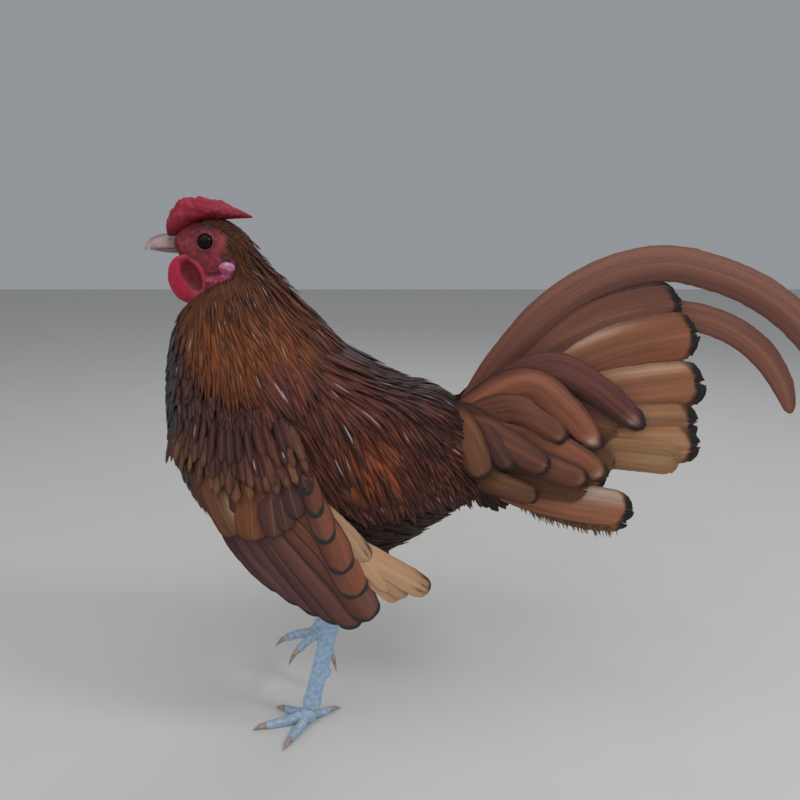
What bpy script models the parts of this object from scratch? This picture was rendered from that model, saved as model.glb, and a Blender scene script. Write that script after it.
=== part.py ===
"""Bantam rooster as a life-size still model, standing on its left leg with the right foot lifted.

All sizes are in millimetres, and MM turns them to metres where a mesh is written. The bird faces -X
and +Z is up. While it is modelled, the floor point below the standing foot is the origin; the last
step moves the whole bird so that the middle of its box stands over the origin.
"""

import math

import bmesh
import bpy
import numpy as np
from mathutils import Vector

MM = 0.001
GAP = 0.3
VANE_THICK = 0.62
LOCK_THICK = 0.5
ROOT_SINK = 2.2

# Rings of neck and trunk: front x, front z, back x, back z and the half width of the ring.
BODY_RINGS = (
    (-47.5, 229.5, -14.0, 248.5, 12.0),
    (-52.5, 222.0, -4.5, 237.5, 16.0),
    (-57.0, 211.0, 8.5, 222.5, 22.0),
    (-60.0, 192.0, 26.0, 205.0, 30.0),
    (-61.0, 170.0, 43.0, 192.5, 36.0),
    (-57.5, 149.0, 57.0, 186.0, 39.5),
    (-46.0, 125.0, 69.0, 183.0, 40.0),
    (-26.0, 105.0, 77.0, 178.0, 37.5),
    (-2.0, 95.0, 83.0, 170.0, 31.5),
    (24.0, 95.0, 87.0, 160.0, 24.0),
    (48.0, 102.0, 90.0, 150.0, 16.5),
    (70.0, 115.0, 92.0, 141.0, 8.0),
)
BODY_SQUARE = 0.9
NECK_END = 2.6
RING_GAP = 0.008
BODY_END = len(BODY_RINGS) - 1.0

# Rings of the head, from the neck to the root of the bill, given as the body's rings are.
HEAD_RINGS = (
    (-47.5, 229.5, -14.0, 248.5, 12.0),
    (-48.5, 239.0, -20.5, 260.0, 11.8),
    (-50.5, 246.5, -32.0, 267.5, 10.8),
    (-52.0, 250.5, -43.0, 266.5, 8.6),
    (-53.5, 252.5, -50.5, 263.0, 5.8),
    (-54.0, 254.5, -53.5, 259.5, 3.0),
)
EYE = (-37.1, 8.3, 256.9)
EYE_RADIUS = 4.2
LID_RADIUS = 3.55
LID_THICK = 0.95
LID_OUT = 2.5
EAR = ((-27.5, 11.4, 250.5), (1.9, 1.5, 1.4))
# Lines on the bare face: points as x, place outwards and z, with the radius at each of them.
CHEEK_FOLD = (((-26.5, 11.6, 242.5), (-30.5, 11.4, 239.6), (-38.0, 9.8, 238.9)), (1.2, 2.0, 1.5))
BROW = (((-31.3, 9.4, 262.3), (-37.3, 9.4, 263.0), (-43.3, 7.8, 261.0)), (0.9, 1.3, 0.9))
MOUTH = (((-56.0, 4.6, 253.8), (-51.0, 6.9, 253.2), (-47.0, 8.9, 252.0)), (0.45, 0.5, 0.3))
EARLOBE = ((-27.0, 11.7, 245.2), (3.6, 1.9, 2.8))

# Wattle: middle, half length and half height, rake and inward lean for each half height.
WATTLE_CENTRE = (-47.0, 8.1, 239.4)
WATTLE_HALF = (9.5, 11.6)
WATTLE_RAKE = 0.8
WATTLE_LEAN = 1.3
WATTLE_BULGE = 2.7
WATTLE_HOLLOW = 1.9
HOLLOW_REACH = 0.75

# Rows of the comb: x, lowest z, highest z and half width, back to the tip of its leader.
COMB_ROWS = (
    (-57.4, 261.0, 263.0, 1.2),
    (-56.0, 259.0, 267.8, 4.8),
    (-51.8, 260.2, 273.2, 7.6),
    (-45.6, 263.6, 276.4, 9.3),
    (-38.6, 265.6, 277.0, 9.2),
    (-32.0, 266.6, 275.6, 7.4),
    (-27.0, 267.2, 273.6, 4.8),
    (-22.0, 267.6, 271.5, 2.6),
    (-16.5, 267.9, 268.7, 0.5),
)
COMB_POINT_RADIUS = 1.25
COMB_POINT_HEIGHT = 2.1
COMB_POINT_ROWS = (1, 6)
COMB_FULLNESS = 0.85

BEAK_ROWS = ((-51.4, 254.0, 260.9, 3.5), (-57.0, 254.0, 260.8, 3.1), (-62.5, 254.1, 260.0, 2.4),
             (-66.6, 253.9, 257.8, 1.5), (-69.2, 252.9, 254.2, 0.35))
JAW_ROWS = ((-51.4, 251.2, 253.7, 3.0), (-57.0, 251.6, 253.7, 2.6), (-62.5, 252.3, 253.8, 1.8),
            (-66.4, 253.0, 253.6, 0.5))
NOSTRIL = ((-55.2, 3.2, 258.0), (1.3, 1.0, 0.6))

# Rows of hackle locks: ring of the roots, ring of the tips at the side, locks around, half width.
HACKLE_ROWS = ((0.2, 1.7, 7, 5.2), (0.7, 2.75, 8, 6.6), (1.3, 3.75, 10, 7.2), (1.9, 4.6, 12, 7.4))
HACKLE_LIFT = (0.8, 3.6)
BARE_THROAT = 0.8
# How much sooner a lock ends at the front and at the back, and how far its end strays, in rings.
HACKLE_SHORTER = (0.75, 0.35)
HACKLE_STRAY = 0.12

# Saddle locks hang from the line of the back to the flank: points as (x, z).
SADDLE_BACK = ((20.0, 186.0), (50.0, 184.0), (76.0, 175.0))
SADDLE_EDGE = ((25.0, 125.0), (52.0, 110.0), (86.0, 122.0))
SADDLE_ROWS = ((0.56, 1.0), (0.30, 0.80), (0.05, 0.56))
SADDLE_COLUMNS = 5
SADDLE_HALF_WIDTH = 5.6
SADDLE_LIFT = (0.9, 3.4)
SADDLE_STRAY = 0.05

# The folded wing lies on a sheet outside the trunk; a level is a height over that sheet, and a tilt
# turns a feather's lower edge outwards, in degrees.
WING_DEPTH = 43.2
WING_TURN = (-5.0, 0.011)
WING_TUCK = (120.0, 0.0026)
PAD_CENTRE = (-9.0, 147.0)
PAD_HALF = (34.0, 20.0, 3.5)
PAD_SLOPE = math.radians(-32.0)
SECONDARY_TIPS = ((12.4, 145.0), (16.5, 134.0), (21.5, 121.5), (28.5, 106.5), (34.5, 93.5),
                  (40.5, 80.5), (32.0, 77.0), (21.0, 83.5), (6.0, 94.5))
SECONDARY_ROOTS = ((4.0, 167.0), (-28.0, 132.0))
SECONDARY_HALF_WIDTH = 7.2
SECONDARY_LEVEL = 4.2
SECONDARY_TILT = 9.0
PRIMARY_TIPS = ((65.5, 100.0), (67.5, 95.5), (61.5, 93.5), (52.0, 93.0))
PRIMARY_ROOT = (8.0, 140.0)
PRIMARY_STEP = (-2.5, -3.0)
PRIMARY_HALF_WIDTH = 6.0
PRIMARY_LEVEL = 1.9
PRIMARY_TILT = 8.0
GREATER_TIPS = ((9.0, 145.0), (5.5, 136.5), (0.0, 131.0), (-7.0, 127.5), (-15.5, 124.5), (-26.5, 127.0))
MEDIAN_TIPS = ((8.5, 158.0), (1.0, 151.5), (-8.0, 147.5), (-19.0, 145.5), (-32.0, 146.0))
# Rows of coverts: tips, length, half width, level.
WING_COVERTS = ((GREATER_TIPS, 24.0, 6.6, 6.4), (MEDIAN_TIPS, 19.0, 6.4, 7.6))
COVERT_LEAN = (32.0, -4.0)
COVERT_SINK = 2.6
COVERT_TILT = 8.0

# Tail: the fan's feathers from the top one down, as path, half width, outward place of the tip.
TAIL_CORE = ((93.0, 0.0, 157.0), (20.0, 11.0, 24.0))
FAN = ((((99.0, 174.0), (145.0, 216.0), (191.0, 228.0)), 10.5, 5.0),
       (((101.0, 169.0), (150.0, 202.0), (199.0, 214.0)), 12.3, 9.0),
       (((102.0, 163.0), (150.0, 182.0), (202.0, 190.5)), 12.3, 13.5),
       (((102.0, 158.0), (150.0, 167.5), (199.0, 171.0)), 10.5, 17.0),
       (((101.0, 154.0), (150.0, 158.5), (199.5, 161.0)), 9.5, 20.5),
       (((100.0, 150.0), (150.0, 155.5), (189.5, 154.0)), 8.0, 23.5),
       (((93.0, 140.0), (128.0, 132.5), (168.5, 129.0)), 10.0, 24.0))
FAN_LEVEL = 2.8
FAN_STEP = 0.75
FAN_TILT = 5.0
# Coverts over the fan: path, half width, outward place of the tip.
COVERTS = ((((91.0, 176.0), (128.0, 197.0), (172.5, 169.0)), 7.0, 20.0),
           (((89.0, 174.0), (118.0, 189.0), (151.0, 159.5)), 7.2, 24.0),
           (((89.0, 170.0), (110.0, 177.5), (133.5, 164.5)), 6.0, 22.5),
           (((91.0, 164.0), (122.0, 161.5), (153.5, 146.5)), 7.0, 28.0),
           (((90.0, 159.0), (115.0, 153.0), (145.0, 144.5)), 6.4, 27.0),
           (((89.0, 146.0), (102.0, 140.5), (121.5, 136.0)), 6.0, 26.0),
           (((82.0, 178.0), (90.0, 165.0), (96.0, 146.0)), 7.0, 20.5))
COVERT_OUT = 6.5
COVERT_STEP = 0.3
TAIL_COVERT_TILT = 7.0
LEFT_SICKLE = ((86.0, 176.0), (104.0, 200.0), (127.0, 224.0), (152.0, 240.0), (180.0, 246.5),
               (207.0, 241.5), (233.0, 230.0), (256.0, 211.0), (273.0, 186.0), (284.0, 154.0))
RIGHT_SICKLE = ((88.0, 172.0), (108.0, 190.0), (134.0, 208.0), (164.0, 220.0), (192.0, 221.5),
                (215.0, 215.5), (233.0, 204.0), (246.0, 188.0), (253.5, 171.0))
# Path and half width of the sickle on each side.
SICKLES = {-1: (LEFT_SICKLE, 8.8), 1: (RIGHT_SICKLE, 7.2)}
SICKLE_LEVELS = (2.2, 3.2)

# Legs: hip, hock and ankle as (x, y, z); the left foot stands, the right one is lifted.
LEFT_LEG = ((6.0, -19.0, 108.0), (20.0, -13.0, 70.0), (6.0, -7.0, 11.5))
RIGHT_LEG = ((16.0, 20.0, 108.0), (44.0, 24.0, 86.0), (9.0, 21.0, 41.5))
THIGH_RADII = (19.0, 12.5, 6.0)
THIGH_OVER_HOCK = 3.0
SHANK_RADIUS = 3.9
SHANK_DEEP = 1.08
SHANK_WIDE = 0.94
# Swelling of the shank at hock and ankle: share of its radius, and reach as a share of its length.
HOCK_SWELL = (0.45, 0.09)
ANKLE_SWELL = (0.12, 0.1)
SHANK_SCUTES = 8
SCUTE_START = 0.1
SCUTE_RUN = 0.88
SCUTE_RAISE = 0.45
# Toes as heading in degrees from +X, length to the claw, radius at the root and at the claw.
TOES = (("inner", 148.0, 16.0, 2.7, 1.9), ("middle", 195.0, 23.0, 2.9, 2.0),
        ("outer", 246.0, 19.0, 2.7, 1.9), ("hind", 36.0, 13.0, 2.4, 1.8))
TOE_SCUTES = 3
TOE_RAISE = 0.4
TOE_SPOTS = (0.02, 0.35, 0.7, 1.0)
TOE_HEIGHTS = (5.0, 3.4, 2.2, 1.7)
TOE_BOW = 1.6
PAD_RADII = (4.6, 4.4, 4.9)
PAD_HEIGHT = 5.0
PAD_FORWARD = 1.8
PAD_BELOW_ANKLE = 4.5
CLAW_LENGTH = 8.0
# How far a claw sinks at its middle and at its tip, on the standing foot and on the lifted one.
CLAW_SINK = {True: (0.15, 1.3), False: (0.9, 3.2)}
RAISED_DROOP = {"inner": -22.0, "middle": -16.0, "outer": -22.0, "hind": -55.0}

# Outlines of feathers and locks: places from root to tip, and the share of the full width there.
FEATHER_SPOTS = (0.0, 0.35, 0.75, 0.93, 1.0)
FEATHER_WIDTHS = (0.35, 0.85, 1.0, 0.82, 0.36)
COVERT_SPOTS = (0.0, 0.45, 0.8, 1.0)
COVERT_WIDTHS = (0.6, 1.0, 0.95, 0.4)
SICKLE_SPOTS = (0.0, 0.12, 0.25, 0.38, 0.51, 0.64, 0.76, 0.87, 0.95, 1.0)
SICKLE_WIDTHS = (0.4, 0.8, 1.0, 1.0, 1.0, 1.0, 1.0, 0.86, 0.6, 0.2)
LOCK_SPOTS = (0.0, 0.3, 0.7, 1.0)
LOCK_WIDTHS = (0.4, 1.0, 0.8, 0.14)

# Colour and roughness of each kind of part.
LOOKS = {
    "bare skin": ("#8C3038", 0.55),
    "comb": ("#96304A", 0.5),
    "wattle": ("#B8203C", 0.45),
    "earlobe": ("#D0A0A8", 0.5),
    "bill": ("#B88F86", 0.35),
    "lower bill": ("#A8857E", 0.35),
    "eye": ("#2A1410", 0.08),
    "hackle": ("#8A4A1E", 0.5),
    "saddle": ("#5A2418", 0.5),
    "wing": ("#6B4038", 0.5),
    "tail": ("#8A5038", 0.5),
    "thigh": ("#2A1B18", 0.7),
    "shank": ("#A9C0D6", 0.45),
    "foot": ("#9FB0C2", 0.5),
    "claw": ("#A88C84", 0.4),
}


def smooth(rows, u):
    """The value at u, 0 to the number of the last row, on the smooth curve through the rows."""
    rows = np.asarray(rows, float)
    last = len(rows) - 1
    i = int(min(max(math.floor(u), 0), last - 1))
    f = u - i
    before, here, after, beyond = rows[max(i - 1, 0)], rows[i], rows[i + 1], rows[min(i + 2, last)]
    return 0.5 * (2 * here + (after - before) * f + (2 * before - 5 * here + 4 * after - beyond) * f ** 2
                  + (3 * here - before - 3 * after + beyond) * f ** 3)


def ring_point(rings, s, t):
    """The point of a ringed form at ring s and angle t: 0 is the back, pi the front, left between."""
    fx, fz, bx, bz, width = smooth(rings, s)
    along = math.copysign(abs(math.cos(t)) ** BODY_SQUARE, math.cos(t))
    aside = math.copysign(abs(math.sin(t)) ** BODY_SQUARE, math.sin(t))
    return np.array(((fx + bx) / 2 + (bx - fx) / 2 * along, -width * aside,
                     (fz + bz) / 2 + (bz - fz) / 2 * along))


def body_point(s, t):
    """Point of neck and trunk; beyond their ends it stays on the end ring."""
    return ring_point(BODY_RINGS, min(max(s, 0.0), BODY_END), t)


def body_normal(s, t):
    """Outward direction of neck and trunk."""
    step = 0.02
    along = body_point(s + step, t) - body_point(s - step, t)
    round_it = body_point(s, t + step) - body_point(s, t - step)
    normal = np.cross(along, round_it)
    outward = body_point(s, t) - (body_point(s, 0.0) + body_point(s, math.pi)) / 2
    return unit(normal * math.copysign(1.0, float(np.dot(normal, outward))))


def unit(vector):
    """The vector at length one."""
    vector = np.asarray(vector, float)
    return vector / max(float(np.linalg.norm(vector)), 1e-9)


def body_place(x, z):
    """Ring and angle of the left side's surface point that shows at (x, z) from the side."""
    def beside(s):
        fx, fz, bx, bz, _ = smooth(BODY_RINGS, s)
        return (bx - fx) * (z - fz) - (bz - fz) * (x - fx)
    low = 0.0
    while low < BODY_END - 0.1 and beside(low) * beside(low + 0.1) > 0:
        low += 0.1
    high = low + 0.1
    for _ in range(20):
        middle = (low + high) / 2
        if beside(low) * beside(middle) > 0:
            low = middle
        else:
            high = middle
    fx, fz, bx, bz, _ = smooth(BODY_RINGS, low)
    share = 2 * ((x - (fx + bx) / 2) * (bx - fx) + (z - (fz + bz) / 2) * (bz - fz))
    share /= (bx - fx) ** 2 + (bz - fz) ** 2
    share = min(max(share, -0.985), 0.985)
    return low, math.acos(math.copysign(abs(share) ** (1 / BODY_SQUARE), share))


def new_object(name, bm):
    """Links a mesh object whose points are given in millimetres."""
    bmesh.ops.triangulate(bm, faces=[f for f in bm.faces if len(f.verts) > 3])
    bmesh.ops.scale(bm, vec=(MM, MM, MM), verts=bm.verts[:])
    bmesh.ops.recalc_face_normals(bm, faces=bm.faces[:])
    mesh = bpy.data.meshes.new(name)
    bm.to_mesh(mesh)
    bm.free()
    obj = bpy.data.objects.new(name, mesh)
    bpy.context.scene.collection.objects.link(obj)
    return obj


def loft(name, place, around, along):
    """Closed form whose point at (s, t), each 0 to 1, is place(s, t); flat ends are filled."""
    bm = bmesh.new()
    bmesh.ops.create_grid(bm, x_segments=around, y_segments=along, size=0.5)
    for vert in bm.verts:
        vert.co = Vector(place(vert.co.y + 0.5, vert.co.x + 0.5))
    bmesh.ops.remove_doubles(bm, verts=bm.verts[:], dist=1e-4)
    bmesh.ops.holes_fill(bm, edges=[e for e in bm.edges if e.is_boundary], sides=0)
    return new_object(name, bm)


def plate(name, stations, columns, thick):
    """Thin closed plate along stations of centre, side, up, half width and rise of its middle.

    Both faces are split into triangles alike, so that a curved plate never crosses itself.
    """
    rows = len(stations) - 1
    bm = bmesh.new()
    bmesh.ops.create_grid(bm, x_segments=columns, y_segments=rows, size=0.5)
    bmesh.ops.triangulate(bm, faces=bm.faces[:], quad_method="FIXED")
    upper = set(bm.verts)
    bmesh.ops.extrude_face_region(bm, geom=bm.faces[:], use_keep_orig=True)
    for vert in bm.verts:
        across = 2 * vert.co.x
        centre, side, up, half_width, rise = stations[round((vert.co.y + 0.5) * rows)]
        lift = rise * (1 - abs(across)) + (thick / 2 if vert in upper else -thick / 2)
        vert.co = Vector(centre + side * (half_width * across) + up * lift)
    return new_object(name, bm)


def ellipsoid(name, centre, radii, segments=16, rings=8):
    """Closed ellipsoid."""
    def place(s, t):
        polar, turn = math.pi * s, 2 * math.pi * t
        return (centre[0] + radii[0] * math.sin(polar) * math.cos(turn),
                centre[1] + radii[1] * math.sin(polar) * math.sin(turn),
                centre[2] + radii[2] * math.cos(polar))
    return loft(name, place, segments, rings)


def frame_along(direction, reference=(0.0, 0.0, 1.0)):
    """Two unit vectors across a direction, the first as near the reference as it can be."""
    direction = unit(direction)
    up = np.asarray(reference, float)
    up = up - direction * float(np.dot(up, direction))
    if np.linalg.norm(up) < 1e-3:
        up = np.array((1.0, 0.0, 0.0)) - direction * direction[0]
    up = unit(up)
    return up, np.cross(direction, up)


def tube(name, points, radii, around=8, reference=(0.0, 0.0, 1.0), steps=None):
    """Round form along a smooth curve through points, with the radius given at each of them."""
    points = np.asarray(points, float)
    last = len(points) - 1
    steps = steps or 3 * last

    def place(s, t):
        u = s * last
        direction = smooth(points, min(u + 0.02, last)) - smooth(points, max(u - 0.02, 0.0))
        up, side = frame_along(direction, reference)
        radius = max(float(smooth(np.asarray(radii)[:, None], u)[0]), 0.0)
        angle = 2 * math.pi * t
        return smooth(points, u) + radius * (up * math.cos(angle) + side * math.sin(angle))
    return loft(name, place, around, steps)


def keep_largest(obj):
    """Drops every closed surface of the object but the largest."""
    bm = bmesh.new()
    bm.from_mesh(obj.data)
    bmesh.ops.remove_doubles(bm, verts=bm.verts[:], dist=1e-6)
    bmesh.ops.triangulate(bm, faces=[f for f in bm.faces if len(f.verts) > 3])
    waiting = set(bm.faces)
    best, best_volume = set(), -1.0
    while waiting:
        island, edge_of = set(), [waiting.pop()]
        while edge_of:
            face = edge_of.pop()
            island.add(face)
            for near in (f for e in face.edges for f in e.link_faces):
                if near in waiting:
                    waiting.discard(near)
                    edge_of.append(near)
        volume = abs(sum(f.verts[0].co.dot(f.verts[1].co.cross(f.verts[2].co)) for f in island))
        if volume > best_volume:
            best, best_volume = island, volume
    loose = [f for f in bm.faces if f not in best]
    bmesh.ops.delete(bm, geom=loose, context="FACES")
    bm.to_mesh(obj.data)
    bm.free()


def combine(target, others, operation, solver="EXACT"):
    """Applies one Boolean with a collection of other objects, which are removed afterwards."""
    group = bpy.data.collections.new("pieces")
    for other in others:
        group.objects.link(other)
    cut = target.modifiers.new("Join", "BOOLEAN")
    cut.operation = operation
    cut.operand_type = "COLLECTION"
    cut.collection = group
    cut.solver = solver
    bpy.context.view_layer.update()
    graph = bpy.context.evaluated_depsgraph_get()
    mesh = bpy.data.meshes.new_from_object(target.evaluated_get(graph))
    target.modifiers.clear()
    target.data = mesh
    mesh.name = target.name
    for other in others:
        bpy.data.objects.remove(other)
    bpy.data.collections.remove(group)
    keep_largest(target)


def swollen(obj, gap):
    """A copy of the object grown by the gap along its normals, for use as a cutter."""
    bm = bmesh.new()
    bm.from_mesh(obj.data)
    bm.normal_update()
    for vert in bm.verts:
        vert.co += vert.normal * gap * vert.calc_shell_factor() * MM
    for vert in bm.verts:
        vert.co /= MM
    return new_object(obj.name + "_room", bm)


def clear_of(obj, others, gap=GAP):
    """Cuts the other objects out of this one, with the gap that touching nodes keep."""
    combine(obj, [swollen(other, gap) for other in others], "DIFFERENCE")


def dress(obj, kind, smooth_angle=40.0):
    """Gives the object a material of its own for that kind of part, and smooth shading."""
    colour, roughness = LOOKS[kind]
    material = bpy.data.materials.new(obj.name)
    material.use_nodes = True
    shader = material.node_tree.nodes["Principled BSDF"]
    channels = [int(colour[i:i + 2], 16) / 255 for i in (1, 3, 5)]
    linear = [c / 12.92 if c <= 0.04045 else ((c + 0.055) / 1.055) ** 2.4 for c in channels]
    shader.inputs["Base Color"].default_value = (*linear, 1.0)
    shader.inputs["Roughness"].default_value = roughness
    shader.inputs["Metallic"].default_value = 0.0
    obj.data.materials.clear()
    obj.data.materials.append(material)
    obj.data.shade_smooth()
    obj.data.set_sharp_from_angle(angle=math.radians(smooth_angle))
    return obj


def flat_feather(name, path, half_width, levels, tilt, side, depth=None, spots=FEATHER_SPOTS,
                 widths=FEATHER_WIDTHS, columns=2, rise=0.08):
    """Feather that lies along a side-view path on one flank.

    path holds (x, z) points, levels the outward place at root and tip, tilt turns it about its shaft
    in degrees, side is -1 left or 1 right, and depth(x, z) adds the bow of a sheet that it lies on.
    """
    last = len(path) - 1
    stations = []
    for spot, width in zip(spots, widths):
        x, z = smooth(path, spot * last)
        ahead = smooth(path, min(spot * last + 0.05, last)) - smooth(path, max(spot * last - 0.05, 0))
        level = levels[0] + (levels[1] - levels[0]) * spot + (depth(x, z) if depth else 0.0)
        across = np.array((-ahead[1], ahead[0])) / np.linalg.norm(ahead)
        # The upper edge is turned in towards the body and the lower one out.
        if across[1] < 0:
            across = -across
        turn = math.radians(tilt)
        side_way = np.array((across[0] * math.cos(turn), -side * math.sin(turn), across[1] * math.cos(turn)))
        up = np.array((across[0] * math.sin(turn), side * math.cos(turn), across[1] * math.sin(turn)))
        centre = np.array((x, side * level, z))
        stations.append((centre, side_way, up, half_width * width, rise * half_width * width))
    return plate(name, stations, columns, VANE_THICK)


def body_lock(name, places, half_width, lift, columns=1):
    """Flat tapered lock on the trunk through places of ring and angle, its root sunk in."""
    last = len(places) - 1
    stations = []
    for spot, width in zip(LOCK_SPOTS, LOCK_WIDTHS):
        s, t = smooth(places, spot * last)
        near, far = smooth(places, max(spot * last - 0.03, 0)), smooth(places, min(spot * last + 0.03, last))
        normal = body_normal(s, t)
        tangent = unit(body_point(*far) - body_point(*near))
        height = -ROOT_SINK if spot == 0 else lift[0] + (lift[1] - lift[0]) * spot
        side = unit(np.cross(normal, tangent))
        stations.append((body_point(s, t) + normal * height, side, normal, half_width * width, 0.0))
    return plate(name, stations, columns, LOCK_THICK)


def make_neck(head):
    """Neck with rows of hackle locks, which end on the shoulders."""
    neck = trunk_length("neck", RING_GAP, NECK_END - RING_GAP, 18, 6)
    locks = []
    for row, (root, tip, count, half_width) in enumerate(HACKLE_ROWS):
        for number in range(count):
            angle = 2 * math.pi * (number + 0.5 * (row % 2)) / count
            front = (1 - math.cos(angle)) / 2
            if front > BARE_THROAT and row < 2:
                continue
            end = tip - HACKLE_SHORTER[0] * front ** 3 - HACKLE_SHORTER[1] * (1 - front) ** 2
            end += HACKLE_STRAY * math.sin(5.3 * number + row)
            places = ((root, angle), ((root + end) / 2, angle), (end, angle))
            locks.append(body_lock("lock", places, half_width, HACKLE_LIFT))
    combine(neck, locks, "UNION")
    clear_of(neck, [head])
    return dress(neck, "hackle")


def trunk_length(name, first, last, around, along):
    """Length of neck or trunk between two rings, with flat ends."""
    return loft(name, lambda s, t: body_point(first + s * (last - first), 2 * math.pi * t), around, along)


def add_saddle(torso):
    """Joins the saddle's hanging locks to the trunk, in rows from the flank up to the back."""
    locks = []
    for first, last in SADDLE_ROWS:
        for number in range(SADDLE_COLUMNS):
            share = 2 * (number + 0.25 * (first > 0.2)) / SADDLE_COLUMNS
            back, edge = smooth(SADDLE_BACK, min(share, 2)), smooth(SADDLE_EDGE, min(share, 2))
            reach = last + SADDLE_STRAY * math.sin(3.7 * number + 9 * first)
            places = [body_place(*(back + (edge - back) * g))
                      for g in (first, (first + reach) / 2, min(reach, 1.0))]
            for side in (1, -1):
                mirrored = [(s, side * t) for s, t in places]
                locks.append(body_lock("lock", mirrored, SADDLE_HALF_WIDTH, SADDLE_LIFT))
    combine(torso, locks, "UNION")
    return dress(torso, "saddle")


def head_point(s, t):
    """Point of the head, s from the neck to the bill and t once round it."""
    return ring_point(HEAD_RINGS, s * (len(HEAD_RINGS) - 1), 2 * math.pi * t)


def on_side(point, side):
    """The point with its outward place on one side of the head."""
    return np.array((point[0], side * point[1], point[2]))


def face_line(name, line, side, around, steps):
    """Round form along one of the face's lines."""
    points, radii = line
    return tube(name, [on_side(point, side) for point in points], radii, around, steps=steps)


def make_eye(name, side):
    """One eyeball."""
    return dress(ellipsoid(name, on_side(EYE, side), (EYE_RADIUS,) * 3, 12, 7), "eye")


def lid_ring(side):
    """Ring of the lids, which stands round the eye's front."""
    def place(s, t):
        turn, roll = 2 * math.pi * t, 2 * math.pi * s
        radius = LID_RADIUS + LID_THICK * math.cos(roll)
        return (EYE[0] + radius * math.cos(turn), side * (EYE[1] + LID_OUT + LID_THICK * math.sin(roll)),
                EYE[2] + 0.92 * radius * math.sin(turn))
    bm = bmesh.new()
    bmesh.ops.create_grid(bm, x_segments=12, y_segments=5, size=0.5)
    for vert in bm.verts:
        vert.co = Vector(place(vert.co.y + 0.5, vert.co.x + 0.5))
    bmesh.ops.remove_doubles(bm, verts=bm.verts[:], dist=1e-4)
    return new_object("lids", bm)


def make_head():
    """Head with lids, brows and cheek folds, cut for the eyes, the ears and the mouth."""
    head = loft("head", lambda s, t: head_point(0.012 + 0.988 * s, t), 18, 9)
    added = []
    for side in (-1, 1):
        added.append(lid_ring(side))
        added.append(face_line("fold", CHEEK_FOLD, side, 5, 4))
        added.append(face_line("brow", BROW, side, 5, 4))
    combine(head, added, "UNION")
    cuts = []
    for side in (-1, 1):
        cuts.append(ellipsoid("socket", on_side(EYE, side), (EYE_RADIUS + 2 * GAP,) * 3, 10, 6))
        cuts.append(ellipsoid("ear", on_side(EAR[0], side), EAR[1], 8, 5))
        cuts.append(face_line("mouth", MOUTH, side, 5, 3))
    combine(head, cuts, "DIFFERENCE")
    return dress(head, "bare skin")


def row_form(name, rows, around=14, along=12, peak=1.0):
    """Form through rows of x, lowest z, highest z and half width, closed at both ends."""
    last = len(rows) - 1

    def place(s, t):
        x, low, high, width = smooth(rows, s * last)
        turn = 2 * math.pi * t
        shape = math.copysign(abs(math.sin(turn)) ** peak, math.sin(turn))
        return x, width * math.cos(turn), (low + high) / 2 + (high - low) / 2 * shape
    return loft(name, place, around, along)


def make_comb(others):
    """Cushion of the comb with rows of small points on it."""
    comb = row_form("comb", COMB_ROWS, 14, 11, COMB_FULLNESS)
    points = []
    for row, (x, low, high, width) in enumerate(COMB_ROWS[slice(*COMB_POINT_ROWS)]):
        for number in range(-1, 2):
            y = width * 0.7 * number + 0.5 * (-1) ** row
            turn = math.acos(max(-0.95, min(0.95, y / (width * 1.05))))
            z = (low + high) / 2 + (high - low) / 2 * math.sin(turn) ** COMB_FULLNESS
            # The front points lean forwards, and the outer ones outwards.
            lean = unit((-0.35 if row < 2 else 0.1, 0.55 * y / width, 0.85))
            start = np.array((x + COMB_POINT_RADIUS * (number % 2), y, z)) - lean
            end = start + lean * (COMB_POINT_HEIGHT + 1.0)
            points.append(tube("point", (start, end), (COMB_POINT_RADIUS, 0.25), 5, (1.0, 0.0, 0.0), 1))
    combine(comb, points, "UNION")
    clear_of(comb, others)
    return dress(comb, "comb")


def make_beak(head):
    """Upper and lower halves of the bill, with its nostrils."""
    upper = row_form("beak_upper", BEAK_ROWS, 10, 7)
    nostrils = [ellipsoid("nostril", on_side(NOSTRIL[0], side), NOSTRIL[1], 6, 4) for side in (-1, 1)]
    combine(upper, nostrils, "DIFFERENCE")
    lower = row_form("beak_lower", JAW_ROWS, 10, 5)
    clear_of(upper, [head])
    clear_of(lower, [head, upper])
    return [dress(upper, "bill"), dress(lower, "lower bill")]


def make_wattle(name, side, others):
    """Rounded hanging lobe with a hollow in its outer face and a thick rim."""
    def place(s, t):
        polar, turn = math.pi * s, 2 * math.pi * t
        across, down = math.sin(polar) * math.cos(turn), math.cos(polar)
        x = WATTLE_CENTRE[0] + WATTLE_HALF[0] * across - WATTLE_RAKE * down
        z = WATTLE_CENTRE[2] + WATTLE_HALF[1] * down
        hollow = WATTLE_HOLLOW * max(0.0, 1 - (math.hypot(across, down) / HOLLOW_REACH) ** 2)
        y = WATTLE_CENTRE[1] - WATTLE_LEAN * (1 - down) + WATTLE_BULGE * math.sin(polar) * math.sin(turn)
        return x, side * (y - (hollow if math.sin(turn) > 0 else 0.0)), z
    wattle = loft(name, place, 16, 9)
    clear_of(wattle, others)
    return dress(wattle, "wattle")


def make_earlobe(name, side, others):
    """Small lobe behind the cheek fold."""
    lobe = ellipsoid(name, on_side(EARLOBE[0], side), EARLOBE[1], 10, 7)
    clear_of(lobe, others)
    return dress(lobe, "earlobe")


def wing_depth(x, z):
    """How far the folded wing's sheet comes in towards the breast and at its tip."""
    return -WING_TURN[1] * max(0.0, WING_TURN[0] - x) ** 2 - WING_TUCK[1] * max(0.0, WING_TUCK[0] - z) ** 2


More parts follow.
